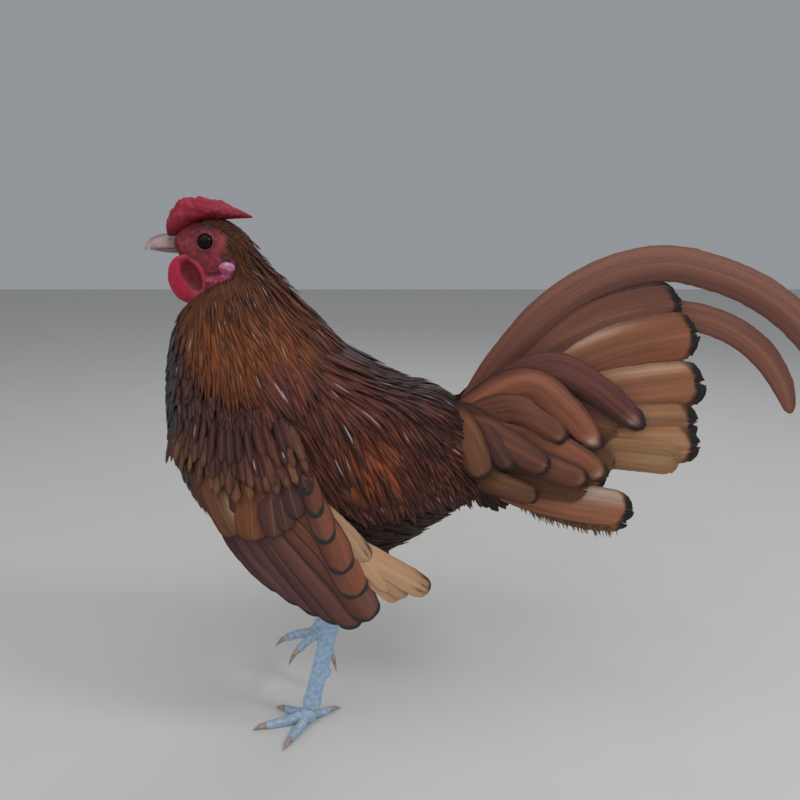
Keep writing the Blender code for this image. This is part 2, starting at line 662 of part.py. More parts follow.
def make_wing(name, side, others):
    """Folded wing: a shoulder pad with secondaries, primaries and two rows of coverts."""
    def place(s, t):
        polar, turn = math.pi * s, 2 * math.pi * t
        along, across = PAD_HALF[0] * math.cos(polar), PAD_HALF[1] * math.sin(polar) * math.cos(turn)
        x = PAD_CENTRE[0] + along * math.cos(PAD_SLOPE) - across * math.sin(PAD_SLOPE)
        z = PAD_CENTRE[1] + along * math.sin(PAD_SLOPE) + across * math.cos(PAD_SLOPE)
        level = WING_DEPTH + PAD_HALF[2] + PAD_HALF[2] * math.sin(polar) * math.sin(turn)
        return x, side * (level + wing_depth(x, z)), z
    wing = loft(name, place, 10, 5)
    vanes = []
    count = len(SECONDARY_TIPS)
    first, last = np.array(SECONDARY_ROOTS)
    for number, tip in enumerate(SECONDARY_TIPS):
        root = first + (last - first) * number / (count - 1)
        level = WING_DEPTH + SECONDARY_LEVEL
        vanes.append(flat_feather("secondary", (root, tip), SECONDARY_HALF_WIDTH, (level, level),
                                  SECONDARY_TILT, side, wing_depth))
    for number, tip in enumerate(PRIMARY_TIPS):
        root = np.array(PRIMARY_ROOT) + np.array(PRIMARY_STEP) * number
        level = WING_DEPTH + PRIMARY_LEVEL - 0.1 * number
        vanes.append(flat_feather("primary", (root, tip), PRIMARY_HALF_WIDTH, (level, level), PRIMARY_TILT,
                                  side, wing_depth, columns=1))
    for tips, reach, half_width, level in WING_COVERTS:
        for number, tip in enumerate(tips):
            lean = math.radians(COVERT_LEAN[0] + (COVERT_LEAN[1] - COVERT_LEAN[0]) * number / (len(tips) - 1))
            root = np.array(tip) + reach * np.array((-math.sin(lean), math.cos(lean)))
            levels = (WING_DEPTH + level - COVERT_SINK, WING_DEPTH + level)
            vanes.append(flat_feather("covert", (root, tip), half_width, levels, COVERT_TILT, side,
                                      wing_depth, COVERT_SPOTS, COVERT_WIDTHS, 1))
    combine(wing, vanes, "UNION")
    clear_of(wing, others)
    return dress(wing, "wing")


def make_tail(name, side, others):
    """One half of the tail: its root, the fan, the coverts over it and one long sickle."""
    centre, radii = TAIL_CORE

    def place(s, t):
        polar = math.pi * s
        y = radii[1] * math.sin(polar) * abs(math.sin(2 * math.pi * t))
        return (centre[0] + radii[0] * math.sin(polar) * math.cos(2 * math.pi * t),
                side * (y if math.sin(2 * math.pi * t) > 0 else 0.0) + side * GAP / 2,
                centre[2] + radii[2] * math.cos(polar))
    tail = loft(name, place, 12, 6)
    vanes = []
    for number, (path, half_width, out) in enumerate(FAN):
        levels = (FAN_LEVEL + FAN_STEP * number, out)
        vanes.append(flat_feather("fan", path, half_width, levels, FAN_TILT, side))
    for number, (path, half_width, out) in enumerate(COVERTS):
        levels = (COVERT_OUT + COVERT_STEP * number, out)
        vanes.append(flat_feather("covert", path, half_width, levels, TAIL_COVERT_TILT, side, None,
                                  COVERT_SPOTS, COVERT_WIDTHS))
    path, half_width = SICKLES[side]
    vanes.append(flat_feather("sickle", path, half_width, SICKLE_LEVELS, 0.0, side, None, SICKLE_SPOTS,
                              SICKLE_WIDTHS))
    combine(tail, vanes, "UNION")
    clear_of(tail, others)
    return dress(tail, "tail")


def make_thigh(name, leg, others):
    """Tapered thigh from the hip to just above the hock."""
    hip, hock = np.array(leg[0]), np.array(leg[1])
    end = hock + unit(hip - hock) * THIGH_OVER_HOCK
    thigh = tube(name, (hip, hip * 0.45 + end * 0.55, end), THIGH_RADII, 12)
    clear_of(thigh, others)
    return dress(thigh, "thigh")


def make_shank(name, leg, others):
    """Scaled shank: each scute is a band whose lower edge stands out on the front."""
    hock, ankle = np.array(leg[1]), np.array(leg[2])
    direction = unit(ankle - hock)
    front, side = frame_along(direction, (-1.0, 0.0, 0.0))
    length = float(np.linalg.norm(ankle - hock))
    rings = [0.0, 0.03, 0.08]
    for number in range(SHANK_SCUTES):
        rings += [SCUTE_START + SCUTE_RUN * (number + end) / SHANK_SCUTES for end in (0.0, 0.93)]
    rings.append(1.0)

    def place(s, t):
        number = round(s * (len(rings) - 1))
        along = rings[number]
        turn = 2 * math.pi * t
        swell = 1.0 + HOCK_SWELL[0] * math.exp(-(along / HOCK_SWELL[1]) ** 2)
        swell += ANKLE_SWELL[0] * math.exp(-((along - 1.0) / ANKLE_SWELL[1]) ** 2)
        plate_edge = number > 2 and number % 2 == 0 and number < len(rings) - 1
        raised = SCUTE_RAISE if plate_edge and math.cos(turn) > -0.3 else 0.0
        radius = SHANK_RADIUS * swell
        return (hock + direction * (along * length)
                + front * (math.cos(turn) * (radius * SHANK_DEEP + raised))
                + side * (math.sin(turn) * (radius * SHANK_WIDE + raised)))
    shank = loft(name, place, 10, len(rings) - 1)
    clear_of(shank, others)
    return dress(shank, "shank")


def toe_path(ball, heading, droop, length, standing):
    """Points from the ball of the foot to the claw: root, knuckle, joint and end."""
    way = np.array((math.cos(math.radians(heading)), math.sin(math.radians(heading)), 0.0))
    up = np.array((0.0, 0.0, 1.0))
    if standing:
        floor = np.array((ball[0], ball[1], 0.0))
        return np.array([floor + way * length * spot + up * height
                         for spot, height in zip(TOE_SPOTS, TOE_HEIGHTS)])
    way = way * math.cos(math.radians(droop)) + up * math.sin(math.radians(droop))
    return np.array([ball + way * length * spot + up * TOE_BOW * math.sin(math.pi * spot)
                     for spot in TOE_SPOTS])


def make_foot(side_name, leg, standing, shank):
    """Four toes and their claws round the ball of the foot; a standing foot is flat below."""
    ankle = np.array(leg[2])
    ball = ankle - np.array((0.0, 0.0, PAD_BELOW_ANKLE))
    if standing:
        ball = np.array((ankle[0] - PAD_FORWARD, ankle[1], PAD_HEIGHT))
    foot = ellipsoid("foot_" + side_name, ball, PAD_RADII, 10, 6)
    toes, claws = [], []
    for toe_name, heading, length, thick, thin in TOES:
        if not standing:
            heading = -heading
        path = toe_path(ball, heading, RAISED_DROOP[toe_name], length, standing)
        steps = 2 * TOE_SCUTES + 1

        def place(s, t, path=path, thick=thick, thin=thin, steps=steps):
            number = round(s * steps)
            spot = (number // 2 + 0.86 * (number % 2)) / (TOE_SCUTES + 0.86)
            u = min(spot, 1.0) * (len(path) - 1)
            way = smooth(path, min(u + 0.02, len(path) - 1)) - smooth(path, max(u - 0.02, 0.0))
            up, side = frame_along(way)
            turn = 2 * math.pi * t
            raised = TOE_RAISE if number % 2 and math.cos(turn) > 0.2 and number < steps else 0.0
            radius = thick + (thin - thick) * spot
            return smooth(path, u) + up * math.cos(turn) * (radius + raised) + side * math.sin(turn) * radius
        toes.append(loft("toe", place, 8, steps))
        way = unit(path[-1] - smooth(path, len(path) - 1.15))
        start = path[-1] + way * GAP
        bend, tip = (start + way * CLAW_LENGTH * share - np.array((0.0, 0.0, sink))
                     for share, sink in zip((0.5, 0.95), CLAW_SINK[standing]))
        claw = tube("claw_%s_%s" % (toe_name, side_name), (start, bend, tip), (thin * 0.8, thin * 0.62, 0.22),
                    6, steps=4)
        claws.append(claw)
    combine(foot, toes, "UNION")
    if standing:
        flatten(foot)
        for claw in claws:
            flatten(claw)
    clear_of(foot, [shank])
    for claw in claws:
        clear_of(claw, [foot])
        dress(claw, "claw")
    dress(foot, "foot")


def flatten(obj):
    """Presses what lies below the floor up to it."""
    for vert in obj.data.vertices:
        vert.co.z = max(vert.co.z, 0.0)


def centre_over_origin():
    """Moves every node by the same amount, so that the middle of the box stands over the origin."""
    nodes = [o for o in bpy.context.scene.objects if o.type == "MESH"]
    points = np.array([tuple(v.co) for o in nodes for v in o.data.vertices])
    low, high = points.min(axis=0), points.max(axis=0)
    shift = Vector((-(low[0] + high[0]) / 2, -(low[1] + high[1]) / 2, -low[2]))
    for node in nodes:
        for vert in node.data.vertices:
            vert.co += shift
        node.data.update()


def main():
    """Builds every node, each cut clear of those that it grows from."""
    for obj in list(bpy.data.objects):
        bpy.data.objects.remove(obj, do_unlink=True)
    neck_core = trunk_length("neck_core", 0.0, NECK_END, 18, 6)
    torso = trunk_length("torso", NECK_END + RING_GAP, BODY_END, 24, 12)
    torso_core = torso.copy()
    torso_core.data = torso.data.copy()
    bpy.context.scene.collection.objects.link(torso_core)
    head = make_head()
    beak = make_beak(head)
    make_comb([head] + beak)
    for side, word in ((-1, "left"), (1, "right")):
        make_eye("eye_" + word, side)
        lobe = make_earlobe("earlobe_" + word, side, [head, neck_core])
        wattle = make_wattle("wattle_" + word, side, [head, neck_core])
        clear_of(wattle, [lobe])
        make_wing("wing_" + word, side, [torso_core])
        make_tail("tail_" + word, side, [torso_core])
    for word, leg, standing in (("left", LEFT_LEG, True), ("right", RIGHT_LEG, False)):
        thigh = make_thigh("thigh_" + word, leg, [torso_core])
        shank = make_shank("shank_" + word, leg, [thigh])
        make_foot(word, leg, standing, shank)
    add_saddle(torso)
    make_neck(head)
    for helper in (neck_core, torso_core):
        bpy.data.objects.remove(helper)
    centre_over_origin()


main()
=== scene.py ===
"""Life-size bantam rooster model: skin, head, plumage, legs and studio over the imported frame.

Shapes are worked out in millimetres with the floor point below the standing foot as origin. The bird
faces -X, its left flank is -Y, and every mesh is moved onto the frame when it is written.
"""

import logging
import math
from dataclasses import dataclass, replace
from enum import Enum
from typing import Callable, Optional, Sequence

import bmesh
import bpy
import numpy as np
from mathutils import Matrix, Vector, noise


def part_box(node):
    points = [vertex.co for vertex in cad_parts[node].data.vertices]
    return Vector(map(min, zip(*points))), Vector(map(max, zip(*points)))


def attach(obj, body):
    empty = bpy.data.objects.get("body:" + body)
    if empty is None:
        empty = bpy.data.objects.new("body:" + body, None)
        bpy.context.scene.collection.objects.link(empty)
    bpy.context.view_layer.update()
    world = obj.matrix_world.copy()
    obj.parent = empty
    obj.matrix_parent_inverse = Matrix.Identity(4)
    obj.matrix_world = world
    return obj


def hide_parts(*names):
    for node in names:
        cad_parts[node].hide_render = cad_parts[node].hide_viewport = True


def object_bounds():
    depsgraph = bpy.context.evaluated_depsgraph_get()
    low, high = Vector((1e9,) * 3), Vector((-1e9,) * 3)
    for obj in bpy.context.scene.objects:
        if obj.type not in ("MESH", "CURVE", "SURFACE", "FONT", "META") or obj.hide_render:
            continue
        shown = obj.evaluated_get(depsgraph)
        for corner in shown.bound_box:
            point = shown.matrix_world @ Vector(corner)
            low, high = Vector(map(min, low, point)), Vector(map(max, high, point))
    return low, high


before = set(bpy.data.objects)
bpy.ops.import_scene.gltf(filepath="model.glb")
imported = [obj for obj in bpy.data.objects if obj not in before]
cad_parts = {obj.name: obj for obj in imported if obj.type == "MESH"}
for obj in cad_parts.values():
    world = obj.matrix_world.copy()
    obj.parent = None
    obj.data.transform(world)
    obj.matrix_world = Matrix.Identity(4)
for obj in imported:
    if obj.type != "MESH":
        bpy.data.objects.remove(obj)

CAD_BOX = [[float(v) for v in corner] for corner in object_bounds()]
MM = 0.001
BEAK_TIP_X = -69.2
SHIFT = np.array((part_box("beak_upper")[0][0] / MM - BEAK_TIP_X, 0.0, 0.0))
ROOT_BODY = "root"
TURN = 2 * math.pi
UP = np.array((0.0, 0.0, 1.0))
# Width of a small feather's place on the unwrap, as a share of it.
PATCH = 0.003
# Seed of the random draws of each sub-assembly.
SEEDS = {"neck": 11, "breast": 23, "saddle": 31, "belly": 43, "thigh": 51, "wing_left": 61,
         "wing_right": 62, "tail_left": 71, "tail_right": 72}
LOG = logging.getLogger("rooster")


class Side(Enum):
    """Which flank of the bird a piece belongs to, as the sign of its Y."""

    LEFT = -1
    RIGHT = 1

    @property
    def word(self) -> str:
        """The side's word in node and piece names."""
        return self.name.lower()


class Outline(Enum):
    """Outline of a feather: places along it from root to tip, and its share of the full width."""

    LANCE = ((0.0, 0.12, 0.35, 0.6, 0.82, 1.0), (0.4, 0.8, 1.0, 0.92, 0.62, 0.06))
    SCALLOP = ((0.0, 0.25, 0.6, 0.82, 0.94, 1.0), (0.5, 0.85, 1.0, 0.92, 0.66, 0.2))
    BLUNT = ((0.0, 0.1, 0.35, 0.7, 0.86, 0.94, 0.98, 1.0), (0.3, 0.6, 0.92, 1.0, 0.97, 0.84, 0.62, 0.28))
    ROUND = ((0.0, 0.1, 0.35, 0.7, 0.86, 0.94, 0.98, 1.0), (0.35, 0.65, 0.92, 1.0, 0.88, 0.66, 0.42, 0.14))
    COVERT = ((0.0, 0.1, 0.3, 0.6, 0.8, 0.92, 0.97, 1.0), (0.8, 1.15, 1.25, 1.12, 0.96, 0.74, 0.5, 0.16))
    SICKLE = ((0.0, 0.08, 0.2, 0.5, 0.78, 0.9, 0.97, 1.0), (0.35, 0.7, 1.0, 1.0, 0.96, 0.78, 0.45, 0.1))
    TUFT = ((0.0, 0.3, 0.6, 0.85, 1.0), (0.5, 1.0, 0.95, 0.6, 0.08))


# Side-view edge of the feathers on head and throat: heights, and the x behind which feathers grow.
FACE_EDGE = ((233.4, 235.9, 240.1, 244.3, 251.3, 253.3, 260.7, 262.0, 263.0, 264.0, 266.0),
             (-40.1, -35.7, -25.8, -23.5, -23.2, -27.3, -26.5, -29.0, -35.0, -39.5, -41.5))
# Distance behind that edge that stands for the whole neck, below the face.
ALL_FEATHERED = 50.0


# Numbers to shapes.


def curve(rows: Sequence[Sequence[float]], u: np.ndarray) -> np.ndarray:
    """Reads a smooth curve through rows of numbers.

    Args:
        rows: the rows that it passes through.
        u: places from 0 to the number of the last row; beyond the ends it goes on straight.

    Returns:
        The values, with one more axis than u.
    """
    rows = np.asarray(rows, float)
    last = len(rows) - 1
    u = np.asarray(u, float)
    held = np.clip(u, 0.0, last)
    i = np.minimum(held.astype(int), last - 1)
    f = (held - i)[..., None]
    before, here, after = rows[np.maximum(i - 1, 0)], rows[i], rows[i + 1]
    beyond = rows[np.minimum(i + 2, last)]
    value = 0.5 * (2 * here + (after - before) * f + (2 * before - 5 * here + 4 * after - beyond) * f ** 2
                   + (3 * here - before - 3 * after + beyond) * f ** 3)
    return (value + np.maximum(u - last, 0.0)[..., None] * (rows[-1] - rows[-2])
            + np.minimum(u, 0.0)[..., None] * (rows[1] - rows[0]))


def from_back(angle: np.ndarray) -> np.ndarray:
    """Angle from the middle of the back, on either flank."""
    return np.minimum(angle, TURN - angle)


def unit(vectors: np.ndarray) -> np.ndarray:
    """The vectors at length one, along their last axis."""
    return vectors / np.maximum(np.linalg.norm(vectors, axis=-1, keepdims=True), 1e-9)


def dot(a: np.ndarray, b: np.ndarray) -> np.ndarray:
    """Dot products along the last axis, which is kept."""
    return np.sum(a * b, axis=-1, keepdims=True)


def frame_along(points: Sequence[Sequence[float]], u: np.ndarray,
                step: float = 0.02) -> tuple[np.ndarray, np.ndarray, np.ndarray]:
    """Follows a smooth line.

    Args:
        points: the line's points.
        u: places along it, from 0 to the number of its last point.
        step: how far on each side its direction is measured.

    Returns:
        Its points and the two directions across it, one as near to upwards as it can be.
    """
    way = unit(curve(points, u + step) - curve(points, u - step))
    up = unit(UP - way * way[..., 2:3])
    return curve(points, u), up, np.cross(way, up)


def straight(start: np.ndarray, way: np.ndarray, v: np.ndarray, length: np.ndarray) -> np.ndarray:
    """Points at the shares v of straight lines, one line for each start."""
    return start[:, None] + way[:, None] * (v[None] * length[:, None])[..., None]


def signed_power(value: np.ndarray, power: float) -> np.ndarray:
    """The value raised to a power with its sign kept."""
    return np.sign(value) * np.abs(value) ** power


def ease(value: np.ndarray, low: float, high: float) -> np.ndarray:
    """Smooth step from 0 at low to 1 at high."""
    share = np.clip((np.asarray(value, float) - low) / (high - low), 0.0, 1.0)
    return share * share * (3 - 2 * share)


def linear(colour: str) -> np.ndarray:
    """Turns an sRGB hex colour into linear numbers.

    Args:
        colour: a hex colour such as "#8A5038".

    Returns:
        Three linear numbers.
    """
    channels = np.array([int(colour[i:i + 2], 16) / 255 for i in (1, 3, 5)])
    return np.where(channels <= 0.04045, channels / 12.92, ((channels + 0.055) / 1.055) ** 2.4)


def over(ground: np.ndarray, colour: str, share: np.ndarray) -> np.ndarray:
    """Lays a hex colour over linear colours, with a share from 0 to 1 for each."""
    share = np.clip(np.asarray(share, float), 0.0, 1.0)[..., None]
    return ground * (1 - share) + linear(colour) * share


def mix(first: str, second: str, share: np.ndarray) -> np.ndarray:
    """Linear colours between two hex colours, one for each share."""
    return over(linear(first), second, share)


def spot(x: np.ndarray, z: np.ndarray, at: Sequence[float], size: Sequence[float]) -> np.ndarray:
    """Soft side-view spot, 1 in its middle, for its place and its half sizes."""
    return np.exp(-((x - at[0]) / size[0]) ** 2 - ((z - at[1]) / size[1]) ** 2)


def away(x: np.ndarray, z: np.ndarray, line: Sequence[Sequence[float]]) -> np.ndarray:
    """Side-view distance from a smooth line through points."""
    dense = curve(line, np.linspace(0, len(line) - 1, 60))
    return np.linalg.norm(np.stack((x, z), -1)[:, None] - dense[None], axis=-1).min(axis=1)


def feathered(x: np.ndarray, z: np.ndarray) -> np.ndarray:
    """How far a side-view place lies behind the edge of the bare face, in millimetres."""
    return np.where(z < FACE_EDGE[0][0], ALL_FEATHERED, x - np.interp(z, *FACE_EDGE))


# Meshes.


def keep(mesh: bpy.types.Mesh, name: str, values: np.ndarray) -> None:
    """Keeps a number or a colour for every vertex of a mesh.

    Args:
        mesh: the mesh.
        name: the attribute's name.
        values: a number, or a linear colour with its alpha, for each vertex.
    """
    values = np.asarray(values, np.float32)
    if values.ndim == 2:
        mesh.attributes.new(name, "FLOAT_COLOR", "POINT").data.foreach_set("color", values.ravel())
    else:
        mesh.attributes.new(name, "FLOAT", "POINT").data.foreach_set("value", values)


def finish_mesh(name: str, bm: bmesh.types.BMesh, paint: Callable) -> bpy.types.Object:
    """Writes a bmesh in millimetres as a piece at the origin.

    Args:
        name: the piece's name.
        bm: the mesh, which is freed.
        paint: gives linear colours for an array of points in millimetres, kept as the attribute "tint".

    Returns:
        The new object.
    """
    bmesh.ops.recalc_face_normals(bm, faces=bm.faces[:])
    mesh = bpy.data.meshes.new(name)
    bm.to_mesh(mesh)
    bm.free()
    points = np.empty(len(mesh.vertices) * 3, np.float64)
    mesh.vertices.foreach_get("co", points)
    points = points.reshape(-1, 3)
    keep(mesh, "tint", np.concatenate((paint(points), np.ones((len(points), 1))), 1))
    mesh.vertices.foreach_set("co", ((points + SHIFT) * MM).ravel())
    mesh.update()
    mesh.shade_smooth()
    obj = bpy.data.objects.new(name, mesh)
    bpy.context.scene.collection.objects.link(obj)
    return obj


def loft(place: Callable, around: int, along: int) -> bmesh.types.BMesh:
    """Closed round form from a grid.

    Args:
        place: gives points for arrays (s, t), s from end to end and t once round, each 0 to 1.
        around: faces round it.
        along: faces along it.

    Returns:
        The bmesh, in millimetres.
    """
    bm = bmesh.new()
    bmesh.ops.create_grid(bm, x_segments=around, y_segments=along, size=0.5)
    grid = np.array([tuple(v.co) for v in bm.verts])
    points = place(grid[:, 1] + 0.5, grid[:, 0] + 0.5)
    for vert, point in zip(bm.verts, points):
        vert.co = Vector(point)
    bmesh.ops.remove_doubles(bm, verts=bm.verts[:], dist=1e-4)
    bmesh.ops.holes_fill(bm, edges=[e for e in bm.edges if e.is_boundary], sides=0)
    return bm


def tube(points: Sequence[Sequence[float]], radii: Sequence[float], around: int,
         along: int) -> bmesh.types.BMesh:
    """Round form along a smooth line.

    Args:
        points: the line's points.
        radii: the radius at each point.
        around: faces round it.
        along: faces along it.

    Returns:
        The bmesh, in millimetres.
    """
    last = len(points) - 1

    def place(s: np.ndarray, t: np.ndarray) -> np.ndarray:
        """Points on the tube.

        Args:
            s: places along it.
            t: places round it.

        Returns:
            Points in millimetres.
        """
        centre, up, side = frame_along(points, s * last)
        radius = np.maximum(curve(np.asarray(radii, float)[:, None], s * last), 0.02)
        angle = (TURN * t)[:, None]
        return centre + radius * (up * np.cos(angle) + side * np.sin(angle))
    return loft(place, around, along)


def join(first: bmesh.types.BMesh, *others: bmesh.types.BMesh) -> bmesh.types.BMesh:
    """Adds other bmeshes to the first one.

    Args:
        first: the bmesh that grows.
        others: those that are added, and freed.

    Returns:
        The first bmesh.
    """
    for other in others:
        mesh = bpy.data.meshes.new("passing")
        other.to_mesh(mesh)
        other.free()
        first.from_mesh(mesh)
        bpy.data.meshes.remove(mesh)
    return first


def rough_noise(points: np.ndarray, size: float, seed: float = 0.0) -> np.ndarray:
    """Smooth noise from about -1 to 1 for points in millimetres, with lumps of the given size."""
    return np.array([noise.noise(Vector(p) / size + Vector((seed, seed, seed))) for p in points])


def knobs(points: np.ndarray, size: float) -> np.ndarray:
    """Rounded knobs from 0 between them to 1 on top, about the given size apart."""
    near = np.array([noise.voronoi(Vector(p) / size)[0][0] for p in points])
    return np.clip(1 - (near / 0.62) ** 2, 0.0, 1.0)


# Finishes.


def add_node(tree: bpy.types.NodeTree, kind: str, inputs: Optional[dict] = None,
             **settings: object) -> bpy.types.Node:
    """Adds one node.

    Args:
        tree: the node tree.
        kind: the node's type name.
        inputs: sockets by name or number, each with a value or with the socket that feeds it.
        settings: the node's own settings.

    Returns:
        The new node.
    """
    node = tree.nodes.new(kind)
    for key, value in settings.items():
        setattr(node, key, value)
    for key, value in (inputs or {}).items():
        if isinstance(value, bpy.types.NodeSocket):
            tree.links.new(value, node.inputs[key])
        else:
            node.inputs[key].default_value = value
    return node


def new_material(name: str) -> tuple[bpy.types.Material, bpy.types.NodeTree, bpy.types.Node]:
    """Makes a material.

    Args:
        name: its name.

    Returns:
        The material, its node tree and its shader.
    """
    material = bpy.data.materials.new(name)
    material.use_nodes = True
    return material, material.node_tree, material.node_tree.nodes["Principled BSDF"]


def maths(tree: bpy.types.NodeTree, operation: str, *values: object,
          clamp: bool = False) -> bpy.types.NodeSocket:
    """Works out a number from others.

    Args:
        tree: the node tree.
        operation: what is done.
        values: numbers or sockets.
        clamp: whether the result is held between 0 and 1.

    Returns:
        The socket with the result.
    """
    return add_node(tree, "ShaderNodeMath", dict(enumerate(values)), operation=operation,
                    use_clamp=clamp).outputs[0]


def remap(tree: bpy.types.NodeTree, value: bpy.types.NodeSocket, low: float, high: float,
          start: float = 0.0, end: float = 1.0, smooth: bool = True) -> bpy.types.NodeSocket:
    """Carries a number from one range to another.

    Args:
        tree: the node tree.
        value: the number.
        low: where it gives the start.
        high: where it gives the end.
        start: the result at low and before it.
        end: the result at high and past it.
        smooth: whether it goes over smoothly.

    Returns:
        The socket with the result.
    """
    return add_node(tree, "ShaderNodeMapRange", dict(enumerate((value, low, high, start, end))),
                    interpolation_type="SMOOTHSTEP" if smooth else "LINEAR").outputs[0]


def blend(tree: bpy.types.NodeTree, share: bpy.types.NodeSocket, *sides: object) -> bpy.types.NodeSocket:
    """Mixes two colours.

    Args:
        tree: the node tree.
        share: share of the second colour.
        sides: the two colours, as sockets or as sRGB hex.

    Returns:
        The socket with the mixed colour.
    """
    first, second = ((*linear(side), 1.0) if isinstance(side, str) else side for side in sides)
    return add_node(tree, "ShaderNodeMix", {0: share, 6: first, 7: second}, data_type="RGBA").outputs[2]


@dataclass(frozen=True)
class FeatherFinish:
    """Barbs, lacing and gloss of one kind of feather; the ground colour is the feather's own "tint".

    The keratin of a vane is dull, and its barbs lie side by side, so light runs along the shaft in a
    streak, which is painted into the colour as a pale highlight. Widths of lacing are millimetres from
    the rim, barbs are counted along one feather.
    """

    name: str
    streak: str
    streak_width: float
    streak_amount: float
    edge: str
    edge_width: float
    edge_amount: float
    tip: str
    tip_start: float
    tip_width: float
    tip_amount: float
    barbs: float
    roughness: float
    barb_tone: float = 0.06
    barb_depth: float = 0.00009
    grain: float = 0.35
    shaft: str = "#B08A60"
    shaft_amount: float = 0.3
    glint: float = 0.0
    gloss: float = 0.5
    wide: float = 7.0
    fray: float = 0.6
    soft: float = 0.3
    stretch: float = 1.6
    apart: float = 70.0
    slant: float = -0.07
    stray: float = 0.04
    vary: float = 0.18
    glint_at: float = 0.62
    glint_colour: str = "#C4B4BC"

    def material(self) -> bpy.types.Material:
        """Builds the material.

        Returns:
            The material.
        """
        material, tree, shader = new_material(self.name)
        vane = add_node(tree, "ShaderNodeUVMap", uv_map="Vane").outputs[0]
        aside, along = add_node(tree, "ShaderNodeSeparateXYZ", {0: vane}).outputs[:2]
        tint, luck, rim = (add_node(tree, "ShaderNodeAttribute", attribute_name=word).outputs[socket]
                           for word, socket in (("tint", "Color"), ("luck", "Fac"), ("rim", "Fac")))
        across = maths(tree, "ABSOLUTE", maths(tree, "MULTIPLY_ADD", aside, 2.0, -1.0))
        # Lengthwise streaks: the noise is stretched along the feather and moved for each one.
        scaled = enumerate(((aside, self.wide), (along, self.stretch), (luck, self.apart)))
        where = add_node(tree, "ShaderNodeCombineXYZ",
                         {axis: maths(tree, "MULTIPLY", *pair) for axis, pair in scaled}).outputs[0]
        grain = add_node(tree, "ShaderNodeTexNoise", {"Vector": where, "Scale": 1.0, "Detail": 3.0,
                                                      "Roughness": 0.6}).outputs[0]
        # Barbs slant forwards from the shaft to the rim, and stray with the grain.
        slanted = maths(tree, "MULTIPLY_ADD", across, self.slant, along)
        bent = maths(tree, "MULTIPLY_ADD", grain, self.stray, slanted)
        barb = maths(tree, "SINE", maths(tree, "MULTIPLY", bent, self.barbs * TURN))
        shade = remap(tree, grain, 0.25, 0.75, 1 - self.grain, 1 + self.grain, smooth=False)
        lined = maths(tree, "MULTIPLY_ADD", barb, self.barb_tone, shade)
        each = remap(tree, luck, 0.0, 1.0, 1 - self.vary, 1 + self.vary, smooth=False)
        ground = add_node(tree, "ShaderNodeVectorMath",
                          {0: tint, "Scale": maths(tree, "MULTIPLY", lined, each)}, operation="SCALE")
        # The painted highlight: a pale streak beside the shaft, broken by the grain.
        streak = remap(tree, across, 0.0, self.streak_width, self.streak_amount, 0.0)
        broken = maths(tree, "MULTIPLY", streak, shade, clamp=True)
        streak_highlighted = blend(tree, broken, ground.outputs[0], self.streak)
        # Lacing follows the rim; it is wider round the tip, and ragged with the grain.
        frayed = maths(tree, "MULTIPLY_ADD", grain, self.fray, rim)
        width = remap(tree, along, self.tip_start, 1.0, self.edge_width + self.fray / 2,
                      self.tip_width + self.fray / 2)
        lace = remap(tree, maths(tree, "DIVIDE", frayed, width), 1 - self.soft, 1.0 + self.soft / 2, 1.0, 0.0)
        near_tip = remap(tree, along, self.tip_start, self.tip_start + 0.1)
        depth = remap(tree, near_tip, 0.0, 1.0, self.edge_amount, self.tip_amount, smooth=False)
        dark = blend(tree, near_tip, self.edge, self.tip)
        laced = blend(tree, maths(tree, "MULTIPLY", lace, depth), streak_highlighted, dark)
        stem = remap(tree, across, 0.0, 0.05, self.shaft_amount, 0.0, smooth=False)
        final = blend(tree, stem, laced, self.shaft)
        if self.glint > 0:
            # Painted highlight: the shafts of some feathers catch a white glint on their middle part.
            part = maths(tree, "FRACT", maths(tree, "MULTIPLY", luck, 7.31))
            line = remap(tree, across, 0.06, 0.18, 0.9, 0.0, smooth=False)
            off = maths(tree, "ABSOLUTE", maths(tree, "SUBTRACT", along, self.glint_at))
            lit = maths(tree, "MULTIPLY", line, remap(tree, off, 0.1, 0.18, 0.9, 0.0, smooth=False))
            amount = maths(tree, "MULTIPLY", lit, maths(tree, "LESS_THAN", part, self.glint))
            final = blend(tree, amount, final, self.glint_colour)
        bump = add_node(tree, "ShaderNodeBump", {"Height": maths(tree, "MULTIPLY_ADD", grain, 3.0, barb),
                                                 "Distance": self.barb_depth, "Strength": 0.6})
        dull = remap(tree, grain, 0.3, 0.7, self.roughness - 0.07, self.roughness + 0.1, smooth=False)
        for socket, source in (("Base Color", final), ("Normal", bump.outputs[0]), ("Roughness", dull)):
            tree.links.new(source, shader.inputs[socket])
        shader.inputs["Specular IOR Level"].default_value = self.gloss
        return material


